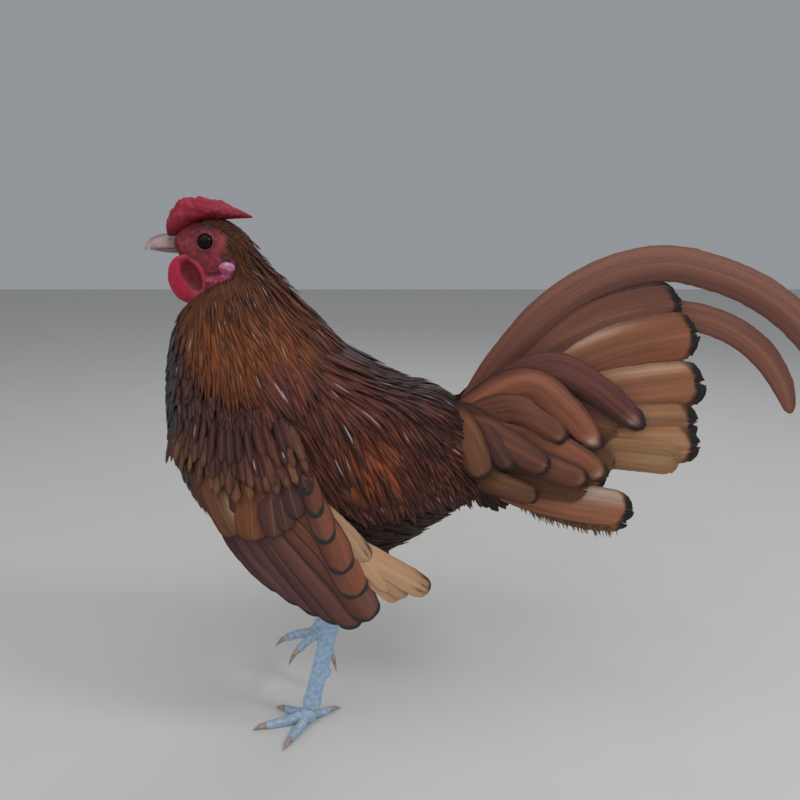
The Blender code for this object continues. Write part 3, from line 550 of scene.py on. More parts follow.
@dataclass(frozen=True)
class SurfaceFinish:
    """Grain of skin, horn or scales; the ground colour is painted on the piece as "tint".

    Sizes are in millimetres: grain_size for the mottling and pit_size for the pits or pimples.
    """

    name: str
    mottle: str
    grain_size: float
    grain_amount: float
    pit_size: float
    pit_depth: float
    roughness: float
    coat: float = 0.0
    flesh: float = 0.0
    flesh_reach: float = 0.001
    gloss: float = 0.5
    cells: bool = True

    def material(self) -> bpy.types.Material:
        """Builds the material.

        Returns:
            The material.
        """
        material, tree, shader = new_material(self.name)
        place = add_node(tree, "ShaderNodeTexCoord").outputs["Object"]
        tint = add_node(tree, "ShaderNodeAttribute", attribute_name="tint").outputs["Color"]
        grain = add_node(tree, "ShaderNodeTexNoise", {"Vector": place, "Detail": 4.0,
                                                      "Scale": 1 / (self.grain_size * MM)}).outputs[0]
        patch = remap(tree, grain, 0.42, 0.68, 0.0, self.grain_amount)
        around = {"Vector": place, "Scale": 1 / (self.pit_size * MM)}
        if self.cells:
            pits = add_node(tree, "ShaderNodeTexVoronoi", around, feature="SMOOTH_F1")
        else:
            pits = add_node(tree, "ShaderNodeTexNoise", {**around, "Detail": 3.0})
        bump = add_node(tree, "ShaderNodeBump", {"Height": pits.outputs[0], "Strength": 0.7,
                                                 "Distance": self.pit_depth * MM}, invert=self.cells)
        worn = remap(tree, grain, 0.3, 0.7, max(self.roughness - 0.06, 0.03), self.roughness + 0.06,
                     smooth=False)
        for socket, source in (("Base Color", blend(tree, patch, tint, self.mottle)),
                               ("Normal", bump.outputs[0]), ("Roughness", worn)):
            tree.links.new(source, shader.inputs[socket])
        for socket, value in (("Specular IOR Level", self.gloss), ("Coat Weight", self.coat),
                              ("Coat Roughness", 0.2), ("Subsurface Weight", self.flesh),
                              ("Subsurface Radius", (1.0, 0.35, 0.25)),
                              ("Subsurface Scale", self.flesh_reach)):
            shader.inputs[socket].default_value = value
        return material


# Narrow neck feathers: golden brown keratin, glossy, with fine lengthwise streaks.
HACKLE = FeatherFinish(
    "glossy_hackle_feather", "#A8683A", 0.45, 0.32, "#2A120A", 0.6, 0.5, "#3A1A10", 0.8, 0.6, 0.4, 60, 0.42,
    grain=0.6, gloss=0.3, shaft="#C08A58", shaft_amount=0.45, glint=0.05, wide=6.0, soft=0.9)
# Short head feathers: dull brown and close.
HEAD = FeatherFinish(
    "short_head_feather", "#7A5034", 0.6, 0.15, "#3A2014", 0.3, 0.3, "#6A3C22", 0.8, 0.3, 0.3, 30, 0.6,
    grain=0.4, gloss=0.25, shaft_amount=0.1, soft=0.9)
# Saddle feathers: darker red, wet-looking, with painted white glints on the shafts.
SADDLE = FeatherFinish(
    "glossy_saddle_feather", "#94482C", 0.5, 0.3, "#180A0A", 0.7, 0.75, "#4A1C12", 0.85, 0.5, 0.3, 60, 0.4,
    grain=0.65, gloss=0.35, shaft="#A87468", shaft_amount=0.35, glint=0.1, wide=5.0, soft=0.9)
# Breast feathers: slate-black with dull grey-brown middles.
BREAST = FeatherFinish(
    "matt_breast_feather", "#625A5E", 0.6, 0.3, "#121014", 1.0, 0.6, "#141216", 0.75, 1.1, 0.4, 40, 0.5,
    grain=0.5, gloss=0.3, glint=0.02, wide=6.0, soft=0.9)
# Shoulder feathers: dull maroon and brown with dark lacing.
BOW = FeatherFinish(
    "matt_shoulder_feather", "#74463A", 0.6, 0.25, "#1C0C0C", 1.0, 0.5, "#1E0E0E", 0.75, 1.0, 0.35, 36, 0.5,
    grain=0.6, gloss=0.3, glint=0.03, wide=5.0, soft=0.9)
# Wing coverts: brown with pale worn patches and soft dark rims.
COVERT = FeatherFinish(
    "wing_covert_feather", "#8E5C40", 0.7, 0.15, "#2E1610", 0.8, 0.6, "#2A1410", 0.85, 1.2, 0.6, 60, 0.5,
    grain=0.36, gloss=0.3, wide=5.0, soft=0.8)
# Secondary quills: brown webs with a dark, faintly green crescent round the tip.
SECONDARY = FeatherFinish(
    "wing_quill_feather", "#8E5A46", 0.5, 0.12, "#2A1412", 0.8, 0.7, "#1C2C2A", 0.78, 5.4, 0.95, 90, 0.5,
    barb_tone=0.03, grain=0.28, gloss=0.3, shaft_amount=0.1, wide=6.0, fray=1.0, soft=0.4)
# Primary quills: pale buff webs with thin dark rims.
PRIMARY = FeatherFinish(
    "buff_wing_quill_feather", "#D8B08A", 0.6, 0.2, "#5A4030", 0.4, 0.4, "#3A2A26", 0.82, 0.6, 0.4, 90, 0.5,
    grain=0.2, gloss=0.3, shaft_amount=0.1, wide=5.0, fray=0.4)
# Tail quills: chestnut webs, black and worn ragged at the end.
TAIL = FeatherFinish(
    "tail_quill_feather", "#A8745A", 0.7, 0.12, "#3A2018", 0.8, 0.45, "#0E0D10", 0.84, 15.0, 0.98, 130, 0.5,
    barb_tone=0.04, grain=0.34, gloss=0.3, wide=7.0, fray=4.0, shaft_amount=0.2, soft=0.45)
# Tail coverts: rounded chestnut feathers with a dark rim round the end, and soft darker sides that are
# painted shade.
TAIL_COVERT = FeatherFinish(
    "tail_covert_feather", "#985E44", 0.6, 0.14, "#2E1610", 1.6, 0.55, "#100A0A", 0.84, 6.4, 0.9, 110, 0.5,
    barb_tone=0.04, grain=0.5, gloss=0.3, wide=5.0, fray=1.6, shaft_amount=0.1, soft=0.7)
# Long sickles: chestnut, with fine lengthwise streaks and no dark tip.
SICKLE = FeatherFinish(
    "sickle_feather", "#A0705C", 0.5, 0.1, "#5E3A30", 1.6, 0.45, "#5A3830", 0.94, 1.6, 0.4, 220, 0.5,
    barb_tone=0.02, grain=0.26, gloss=0.3, wide=6.0, shaft_amount=0.2, soft=0.9)
# Soft belly and thigh down: dull and dark.
FLUFF = FeatherFinish(
    "soft_belly_feather", "#4A3428", 0.6, 0.25, "#120E0C", 0.8, 0.6, "#100C0A", 0.8, 1.0, 0.4, 24, 0.7,
    grain=0.5, gloss=0.3, soft=0.8)

# Bare living skin of the face: dull red, finely pimpled.
FACE_SKIN = SurfaceFinish("bare_face_skin", "#5E1E28", 2.2, 0.5, 0.7, 0.25, 0.6, flesh=0.1, gloss=0.3)
# Comb flesh: dull crimson, rough with small points.
COMB_SKIN = SurfaceFinish("comb_flesh", "#7A162A", 2.4, 0.45, 1.0, 0.25, 0.62, flesh=0.1, gloss=0.3)
# Wattle flesh: thin and bright red, finely grained.
WATTLE_SKIN = SurfaceFinish("wattle_flesh", "#8A142C", 2.6, 0.35, 0.9, 0.2, 0.55, flesh=0.1, gloss=0.35)
# Earlobe skin: pinkish white and pearly.
LOBE_SKIN = SurfaceFinish("earlobe_skin", "#A84468", 0.9, 0.7, 0.7, 0.3, 0.3, coat=0.3)
# Bill horn: pinkish keratin, grey-brown at its base, with a low polish.
BILL_HORN = SurfaceFinish("bill_horn", "#8E7472", 1.6, 0.5, 0.8, 0.05, 0.36, coat=0.15, cells=False)
# Leg scales: pale slate blue keratin, faintly glossy.
LEG_SCALE = SurfaceFinish("slate_blue_leg_scale", "#7C9AB6", 2.0, 0.5, 0.9, 0.1, 0.4, coat=0.12)
# Claw horn: pinkish grey keratin.
CLAW_HORN = SurfaceFinish("claw_horn", "#8A706A", 1.5, 0.4, 0.5, 0.03, 0.35, cells=False)
# Eye: dark brown iris round a black pupil, under a wet clear front.
EYE_WET = SurfaceFinish("wet_eye", "#14070A", 0.8, 0.4, 0.6, 0.0, 0.05, gloss=0.14)
# Studio floor: matt pale card.
CARD = SurfaceFinish("pale_studio_card", "#CFCECA", 60.0, 0.3, 2.0, 0.02, 0.85, cells=False)


# Surfaces that feathers grow on.


class Sheet:
    """A surface read by two numbers a and b, on which feathers are set."""

    step = 0.02

    def at(self, a: np.ndarray, b: np.ndarray) -> np.ndarray:
        """Points of the surface, in millimetres."""
        raise NotImplementedError

    def inside(self, a: np.ndarray, b: np.ndarray) -> np.ndarray:
        """Points well inside the form, below those of the surface."""
        raise NotImplementedError

    def slopes(self, a: np.ndarray, b: np.ndarray) -> tuple[np.ndarray, np.ndarray, np.ndarray]:
        """How the surface runs.

        Args:
            a: first number of each place.
            b: second number of each place.

        Returns:
            How the point moves with a and with b, and the outward normal.
        """
        e = self.step
        along = (self.at(a + e, b) - self.at(a - e, b)) / (2 * e)
        around = (self.at(a, b + e) - self.at(a, b - e)) / (2 * e)
        normal = unit(np.cross(along, around))
        outward = dot(normal, self.at(a, b) - self.inside(a, b))
        return along, around, normal * np.sign(outward)

    def unwrap(self, a: np.ndarray, b: np.ndarray) -> np.ndarray:
        """Places 0 to 1 on the unwrap of the surface's own shape."""
        raise NotImplementedError

    def walk(self, a: np.ndarray, b: np.ndarray, heading: Callable, length: np.ndarray,
             stations: int) -> tuple[np.ndarray, np.ndarray]:
        """Lays lines on the surface.

        Args:
            a: first number of each root.
            b: second number of each root.
            heading: gives directions for (points, a, b, along, around).
            length: the length of each line in millimetres.
            stations: points on each line.

        Returns:
            The points and the normals, as arrays of line, station and axis.
        """
        a, b = np.array(a, float), np.array(b, float)
        step = np.asarray(length, float) / (stations - 1)
        lines, normals = [], []
        for _ in range(stations):
            point = self.at(a, b)
            along, around, normal = self.slopes(a, b)
            lines.append(point)
            normals.append(normal)
            way = heading(point, a, b, along, around)
            way = unit(way - normal * dot(way, normal))
            aa, ab, bb = dot(along, along), dot(along, around), dot(around, around)
            da, db = dot(along, way), dot(around, way)
            det = np.maximum(aa * bb - ab * ab, 1e-6)
            a = a + step * ((da * bb - db * ab) / det)[:, 0]
            b = b + step * ((db * aa - da * ab) / det)[:, 0]
        return np.stack(lines, 1), np.stack(normals, 1)


@dataclass
class Trunk(Sheet):
    """Head, neck and trunk as rings: front x and z, back x and z, and half width.

    The first number is the ring, 0 at the top of the neck and less on the head; the second is the
    angle round it, 0 at the back, pi at the front and left between them.
    """

    head: tuple = ((-54.0, 254.5, -53.5, 259.5, 3.0), (-53.5, 252.5, -50.5, 263.0, 5.8),
                   (-52.0, 250.5, -43.0, 266.5, 8.6), (-50.5, 246.5, -32.0, 267.5, 10.8),
                   (-48.5, 239.0, -20.5, 260.0, 11.8))
    body: tuple = ((-47.5, 229.5, -14.0, 248.5, 12.0), (-52.5, 222.0, -4.5, 237.5, 16.0),
                   (-57.0, 211.0, 8.5, 222.5, 22.0), (-60.0, 192.0, 26.0, 205.0, 30.0),
                   (-61.0, 170.0, 43.0, 192.5, 36.0), (-57.5, 149.0, 57.0, 186.0, 39.5),
                   (-46.0, 125.0, 69.0, 183.0, 40.0), (-26.0, 105.0, 77.0, 178.0, 37.5),
                   (-2.0, 95.0, 83.0, 170.0, 31.5), (24.0, 95.0, 87.0, 160.0, 24.0),
                   (48.0, 102.0, 90.0, 150.0, 16.5), (70.0, 115.0, 92.0, 141.0, 8.0))
    square: float = 0.9

    @property
    def first(self) -> float:
        """The ring number at the root of the bill."""
        return -float(len(self.head))

    @property
    def last(self) -> float:
        """The ring number below the tail."""
        return len(self.body) - 1.0

    def ring(self, a: np.ndarray) -> np.ndarray:
        """The five numbers of the rings at a."""
        return curve(self.head + self.body, np.asarray(a, float) - self.first)

    def at(self, a: np.ndarray, b: np.ndarray) -> np.ndarray:
        """Points of the surface.

        Args:
            a: ring numbers.
            b: angles from the back.

        Returns:
            Points in millimetres.
        """
        fx, fz, bx, bz, width = np.moveaxis(self.ring(a), -1, 0)
        along, aside = signed_power(np.cos(b), self.square), signed_power(np.sin(b), self.square)
        return np.stack(((fx + bx) / 2 + (bx - fx) / 2 * along, -np.maximum(width, 0.3) * aside,
                         (fz + bz) / 2 + (bz - fz) / 2 * along), -1)

    def inside(self, a: np.ndarray, b: np.ndarray) -> np.ndarray:
        """The middle of each ring."""
        fx, fz, bx, bz, _ = np.moveaxis(self.ring(a), -1, 0)
        return np.stack(((fx + bx) / 2, np.zeros_like(fx), (fz + bz) / 2), -1)

    def unwrap(self, a: np.ndarray, b: np.ndarray) -> np.ndarray:
        """The skin laid flat.

        Args:
            a: ring numbers.
            b: angles from the back.

        Returns:
            Places with the angle across and the ring up.
        """
        u = 0.04 + 0.92 * np.mod(b / TURN, 1.0)
        v = 0.04 + 0.92 * (np.asarray(a, float) - self.first) / (self.last - self.first + 0.6)
        return np.stack((u, v), -1)

    def scatter(self, low: float, high: float, row_gap: float, gap: float, jitter: float,
                rng: np.random.Generator) -> tuple[np.ndarray, np.ndarray]:
        """Roots in rows round the trunk, set between those of the row before.

        Args:
            low: first ring number.
            high: last ring number.
            row_gap: millimetres from row to row.
            gap: millimetres from root to root in a row.
            jitter: how far a root may stray, as a share of the gap.
            rng: the seeded random source.

        Returns:
            Ring numbers and angles of the roots.
        """
        fine = np.linspace(low, high, 200)
        reach = np.mean([np.linalg.norm(np.diff(self.at(fine, np.full(200, t)), axis=0), axis=1)
                         for t in (0.01, math.pi / 2, math.pi - 0.01)], axis=0)
        travelled = np.concatenate(([0.0], np.cumsum(reach)))
        rings, angles = [], []
        for number in range(int(travelled[-1] / row_gap) + 1):
            ring = float(np.interp(number * row_gap, travelled, fine))
            turn = np.linspace(0.0, TURN, 97)
            edge = np.linalg.norm(np.diff(self.at(np.full(97, ring), turn), axis=0), axis=1)
            far = np.concatenate(([0.0], np.cumsum(edge)))
            count = max(6, int(far[-1] / gap))
            spots = (np.arange(count) + 0.5 * (number % 2) + jitter * rng.uniform(-1, 1, count)) / count
            angles.append(np.interp(np.mod(spots, 1.0) * far[-1], far, turn))
            stray = jitter * row_gap * rng.uniform(-1, 1, count)
            rings.append(ring + stray * (high - low) / max(travelled[-1], 1e-6))
        return np.concatenate(rings), np.concatenate(angles)


@dataclass
class WingSheet(Sheet):
    """The outer face of the folded wing, read by its side-view x and z."""

    side: Side = Side.LEFT
    level: float = 43.2
    turn_x: float = -5.0
    turn: float = 0.011
    tuck_z: float = 120.0
    tuck: float = 0.0026
    top_z: float = 152.0
    top: float = 0.007
    step = 0.5

    def at(self, a: np.ndarray, b: np.ndarray) -> np.ndarray:
        """Points of the sheet.

        Args:
            a: places along, as x.
            b: heights, as z.

        Returns:
            Points in millimetres.
        """
        depth = (self.level - self.turn * np.maximum(0.0, self.turn_x - a) ** 2
                 - self.tuck * np.maximum(0.0, self.tuck_z - b) ** 2
                 - self.top * np.maximum(0.0, b - self.top_z) ** 2)
        return np.stack((np.asarray(a, float), self.side.value * depth, np.asarray(b, float)), -1)

    def inside(self, a: np.ndarray, b: np.ndarray) -> np.ndarray:
        """Points of the bird's middle plane, a little inwards of the wing's front edge."""
        return np.stack((np.asarray(a, float) + 4.0, np.zeros_like(a), np.asarray(b, float)), -1)

    def unwrap(self, a: np.ndarray, b: np.ndarray) -> np.ndarray:
        """The sheet laid flat."""
        u, v = np.asarray(a, float) + 70, np.asarray(b, float) - 65
        return 0.03 + np.stack((u, v), -1) / 160


@dataclass
class ThighSheet(Sheet):
    """A feathered thigh, read by the share of its length and the angle round it.

    Args:
        line: hip and hock.
        radii: its radius inside the trunk, at the hip, half way down and at the hock.
        rise: how far it runs up into the trunk, as a share of its length.
    """

    line: tuple
    radii: tuple = (5.0, 17.6, 12.8, 6.0)
    rise: float = 0.42

    @property
    def points(self) -> tuple:
        """The middle line, from inside the trunk to the hock."""
        hip, hock = np.array(self.line)
        return (hip - (hock - hip) * self.rise, hip, hip * 0.45 + hock * 0.55, hock)

    def at(self, a: np.ndarray, b: np.ndarray) -> np.ndarray:
        """Points of the surface.

        Args:
            a: shares of the length.
            b: angles from above.

        Returns:
            Points in millimetres.
        """
        u, angle = np.asarray(a, float) * 3, np.asarray(b, float)[..., None]
        centre, up, side = frame_along(self.points, u)
        radius = np.maximum(curve(np.array(self.radii)[:, None], u), 0.5)
        return centre + radius * (up * np.cos(angle) + side * np.sin(angle))

    def inside(self, a: np.ndarray, b: np.ndarray) -> np.ndarray:
        """The thigh's middle line."""
        return curve(self.points, np.asarray(a, float) * 3)

    def unwrap(self, a: np.ndarray, b: np.ndarray) -> np.ndarray:
        """Angle across and length up."""
        return np.stack((0.04 + 0.92 * np.mod(b / TURN, 1.0), 0.04 + 0.9 * np.clip(a, 0, 1)), -1)


# Feathers.


@dataclass(frozen=True)
class Mark:
    """A soft patch on a large feather: its place across (1 is the upper edge) and along, its size in
    the same shares, its colour and how strong it is."""

    across: float
    along: float
    wide: float
    long: float
    colour: str
    amount: float = 0.8


@dataclass
class Plumes:
    """Many feathers of one build, as arrays whose first axis is the feather."""

    line: np.ndarray
    up: np.ndarray
    half: np.ndarray
    tint: np.ndarray
    patch: np.ndarray
    luck: np.ndarray
    spread: Optional[np.ndarray] = None
    marks: Sequence[Sequence[Mark]] = ()
    rimless: Sequence[int] = ()
    PARTS = ("line", "up", "half", "tint", "patch", "luck")

    def chosen(self, mask: np.ndarray) -> "Plumes":
        """Those of the feathers that the mask keeps."""
        parts = [getattr(self, part)[mask] for part in self.PARTS]
        return Plumes(*parts, marks=[marks for marks, kept in zip(self.marks, mask) if kept])

    @staticmethod
    def together(groups: Sequence["Plumes"]) -> "Plumes":
        """One set from several that have the same number of stations."""
        return Plumes(*(np.concatenate([getattr(g, part) for g in groups]) for part in Plumes.PARTS))


@dataclass
class Coat:
    """One piece of plumage, built as a joined mesh of thin closed vanes.

    Args:
        name: the piece's name.
        finish: the finish of its feathers.
        slot: the record's material slot.
        columns: faces across a vane.
        thick: thickness at the shaft, in millimetres.
        camber: how far the webs droop from the shaft, as a share of the half width.
        ragged: how far the rim is broken, as a share of the half width.
        ragged_from: how far along the feather that begins.
        fray: how far the end's edge is worn back at most, in millimetres.
        seed: seed of the worn rims.
    """

    name: str
    finish: FeatherFinish
    slot: str
    columns: int = 4
    thick: float = 0.35
    camber: float = 0.15
    ragged: float = 0.12
    ragged_from: float = 0.45
    fray: float = 0.0
    seed: int = 7

    def template(self, rows: int) -> tuple[np.ndarray, np.ndarray]:
        """Makes a closed lens over a grid.

        Args:
            rows: faces along it.

        Returns:
            Its points (across, along, face) and its four-sided faces.
        """
        bm = bmesh.new()
        bmesh.ops.create_grid(bm, x_segments=self.columns, y_segments=rows, size=0.5)
        for vert in bm.verts:
            vert.co.z = 0.0 if vert.is_boundary else 0.5
        copied = bmesh.ops.duplicate(bm, geom=bm.verts[:] + bm.edges[:] + bm.faces[:])["geom"]
        under = [g for g in copied if isinstance(g, bmesh.types.BMFace)]
        for vert in (g for g in copied if isinstance(g, bmesh.types.BMVert)):
            vert.co.z = -vert.co.z
        bmesh.ops.reverse_faces(bm, faces=under)
        bmesh.ops.remove_doubles(bm, verts=bm.verts[:], dist=1e-4)
        bm.verts.index_update()
        points = np.array([tuple(v.co) for v in bm.verts])
        faces = np.array([[v.index for v in f.verts] for f in bm.faces])
        bm.free()
        return points, faces

    def shades(self, plumes: Plumes, across: np.ndarray, along: np.ndarray) -> np.ndarray:
        """Ground colours of every point, with the marks laid over them.

        Args:
            plumes: the feathers.
            across: place of each template point across, -1 to 1.
            along: place of each template point along, 0 to 1.

        Returns:
            Linear colours by feather and point.
        """
        colours = np.repeat(plumes.tint[:, None], len(across), axis=1)
        for number, marks in enumerate(plumes.marks):
            for mark in marks:
                near = spot(across, along, (mark.across, mark.along), (mark.wide, mark.long))
                colours[number] = over(colours[number], mark.colour, near * mark.amount)
        return colours

    def build(self, plumes: Plumes, nodes: Sequence[str]) -> bpy.types.Object:
        """Writes the piece.

        Args:
            plumes: its feathers.
            nodes: the CAD nodes that it stands for.

        Returns:
            The new object, dressed and riding on the frame.
        """
        count, stations = plumes.line.shape[:2]
        shape, faces = self.template(stations - 1)
        rng = np.random.default_rng(self.seed)
        row = np.rint((shape[:, 1] + 0.5) * (stations - 1)).astype(int)
        across, along = 2 * shape[:, 0], row / (stations - 1)
        way = unit(np.gradient(plumes.line, axis=1))
        side = unit(np.cross(way, plumes.up))
        up = np.cross(side, way)
        on_rim = (np.abs(across) > 0.9) | (row == stations - 1)
        chance = rng.uniform(0, 1, (count, len(shape)))
        broken = 1 - self.ragged * chance * (along > self.ragged_from) * on_rim
        half = plumes.half[:, row] * broken
        lift = self.thick * shape[:, 2] - self.camber * half * across ** 2
        points = (plumes.line[:, row] + side[:, row] * (half * across)[..., None]
                  + up[:, row] * lift[..., None])
        column = np.rint((shape[:, 0] + 0.5) * self.columns).astype(int)
        worn = self.fray * rng.uniform(0, 1, (count, self.columns + 1))[:, column] * ease(along, 0.88, 1.0)
        points = points - way[:, row] * worn[..., None]
        points = (points.reshape(-1, 3) + SHIFT) * MM
        length = np.linalg.norm(np.diff(plumes.line, axis=1), axis=-1).sum(axis=1)
        rim = np.minimum(plumes.half[:, row] * (1 - np.abs(across)), length[:, None] * (1 - along))
        rim[list(plumes.rimless)] += 99.0
        quads = (faces[None] + (np.arange(count) * len(shape))[:, None, None]).reshape(-1, 4)
        first = points[quads[0]]
        facing = np.dot(np.cross(first[1] - first[0], first[2] - first[1]), up[0, 1])
        if (facing < 0) == bool(shape[faces[0], 2].sum() > 0):
            quads = quads[:, ::-1]
        mesh = bpy.data.meshes.new(self.name)
        mesh.vertices.add(len(points))
        mesh.vertices.foreach_set("co", points.ravel())
        mesh.loops.add(quads.size)
        mesh.loops.foreach_set("vertex_index", quads.ravel().astype(np.int32))
        mesh.polygons.add(len(quads))
        mesh.polygons.foreach_set("loop_start", np.arange(0, quads.size, 4, dtype=np.int32))
        mesh.update(calc_edges=True)
        mesh.validate()
        vane = np.tile(np.stack((shape[:, 0] + 0.5, shape[:, 1] + 0.5), -1), (count, 1))
        spread = plumes.spread if plumes.spread is not None else np.full((count, 2), PATCH)
        patch = plumes.patch[:, None, :] + (vane.reshape(count, -1, 2) - 0.5) * spread[:, None, :]
        corners = np.empty(len(mesh.loops), np.int32)
        mesh.loops.foreach_get("vertex_index", corners)
        for layer, places in (("Vane", vane), ("OFBake", patch.reshape(-1, 2))):
            uv = mesh.uv_layers.new(name=layer)
            uv.uv.foreach_set("vector", places[corners].astype(np.float32).ravel())
        shades = self.shades(plumes, across, along).reshape(-1, 3)
        keep(mesh, "tint", np.concatenate((shades, np.ones((len(shades), 1))), 1))
        keep(mesh, "luck", np.repeat(plumes.luck, len(shape)))
        keep(mesh, "rim", rim.ravel())
        mesh.shade_smooth()
        mesh.set_sharp_from_angle(angle=math.radians(70))
        obj = bpy.data.objects.new(self.name, mesh)
        bpy.context.scene.collection.objects.link(obj)
        LOG.info("%s: %d feathers, %d faces", self.name, count, len(quads))
        return settle(obj, self.finish.material(), self.slot, nodes)


def settle(obj: bpy.types.Object, material: bpy.types.Material, slot: Optional[str],
           nodes: Sequence[str]) -> bpy.types.Object:
    """Dresses a piece, sets it on the frame and lets it stand for CAD nodes.

    Args:
        obj: the piece.
        material: its material.
        slot: the record's slot, or None for a piece that has none; it is not used.
        nodes: the CAD nodes that it replaces.

    Returns:
        The same piece.
    """
    obj.data.materials.clear()
    obj.data.materials.append(material)
    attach(obj, ROOT_BODY)
    if nodes:
        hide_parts(*nodes)
    return obj


def grow(sheet: Sheet, a: np.ndarray, b: np.ndarray, heading: Callable, length: np.ndarray, half: np.ndarray,
         outline: Outline, lift: tuple, tint: np.ndarray, rng: np.random.Generator,
         stations: int = 9, roll: float = 8.0) -> Plumes:
    """Sets feathers on a sheet.

    Args:
        sheet: the surface.
        a: first number of each root.
        b: second number of each root.
        heading: direction of growth, as Sheet.walk takes it.
        length: length of each feather.
        half: half width of each feather.
        outline: their outline.
        lift: height of the shaft over the surface at the root and at the tip, for all or for each.
        tint: linear ground colour of each feather.
        rng: the seeded random source.
        stations: points along each feather.
        roll: how far a feather may turn about its shaft, in degrees.

    Returns:
        The feathers.
    """
    count = len(a)
    line, up = sheet.walk(a, b, heading, length, stations)
    v = np.linspace(0.0, 1.0, stations)
    low, high = (np.broadcast_to(np.asarray(end, float), (count,))[:, None] for end in lift)
    height = low + (high - low) * v + rng.uniform(-0.25, 0.35, (count, 1)) * (high - low) * v
    line = line + up * height[..., None]
    way = unit(np.gradient(line, axis=1))
    side = unit(np.cross(way, up))
    angle = np.radians(rng.uniform(-roll, roll, (count, 1, 1)))
    up = up * np.cos(angle) + side * np.sin(angle)
    widths = np.interp(v, *outline.value)
    halves = np.asarray(half)[:, None] * widths[None] * rng.uniform(0.92, 1.08, (count, stations))
    return Plumes(line, up, halves, np.broadcast_to(tint, (count, 3)), sheet.unwrap(a, b),
                  rng.uniform(0, 1, count))


@dataclass(frozen=True)
class Quill:
    """One large feather laid along a side-view line on one flank.

    Args:
        path: (x, z) points from root to tip.
        half: half width in millimetres.
        out: distance from the bird's middle plane, or level over a sheet, at root and tip.
        colour: ground colour as sRGB hex.
        marks: patches on it.
        tilt: how far its lower edge is turned outwards, in degrees.
        outline: its outline.
        laced: whether its rim is dark.
    """

    path: tuple
    half: float
    out: tuple
    colour: str
    marks: tuple = ()
    tilt: float = 5.0
    outline: Outline = Outline.ROUND
    laced: bool = True


def lay_quills(quills: Sequence[Quill], side: Side, sheet: Optional[WingSheet], stations: int,
               rng: np.random.Generator) -> Plumes:
    """Turns quills into plumes.

    Args:
        quills: the feathers.
        side: the flank that they lie on.
        sheet: the sheet that their levels count from, or None for the middle plane.
        stations: points along each feather.
        rng: the seeded random source.

    Returns:
        The plumes, each with a strip of its own for its baked colours.
    """
    v = np.linspace(0.0, 1.0, stations)
    lines, ups, halves = [], [], []
    for quill in quills:
        flat = curve(quill.path, v * (len(quill.path) - 1))
        level = curve(np.asarray(quill.out, float)[:, None], v * (len(quill.out) - 1))[:, 0]
        if sheet is not None:
            level = level + np.abs(sheet.at(flat[:, 0], flat[:, 1])[:, 1])
        lines.append(np.stack((flat[:, 0], side.value * level, flat[:, 1]), -1))
        way = unit(np.gradient(flat, axis=0))
        upper = np.stack((-way[:, 1], way[:, 0]), -1)
        upper = upper * np.where(upper[:, 1:2] < 0, -1.0, 1.0)
        turn = math.radians(quill.tilt + rng.uniform(-1.5, 1.5))
        ups.append(np.stack((upper[:, 0] * math.sin(turn), np.full(stations, side.value * math.cos(turn)),
                             upper[:, 1] * math.sin(turn)), -1))
        halves.append(quill.half * np.interp(v, *quill.outline.value) * rng.uniform(0.985, 1.015, stations))
    count = len(quills)
    strip = 0.9 / count
    patch = np.stack((0.05 + strip * (np.arange(count) + 0.5), np.full(count, 0.5)), -1)
    return Plumes(np.stack(lines), np.stack(ups), np.stack(halves),
                  np.array([linear(q.colour) for q in quills]),
                  patch, rng.uniform(0, 1, count), np.tile((strip * 0.86, 0.9), (count, 1)),
                  [[replace(m, across=m.across * side.value) for m in q.marks] for q in quills],
                  [number for number, q in enumerate(quills) if not q.laced])


# Sub-assemblies.


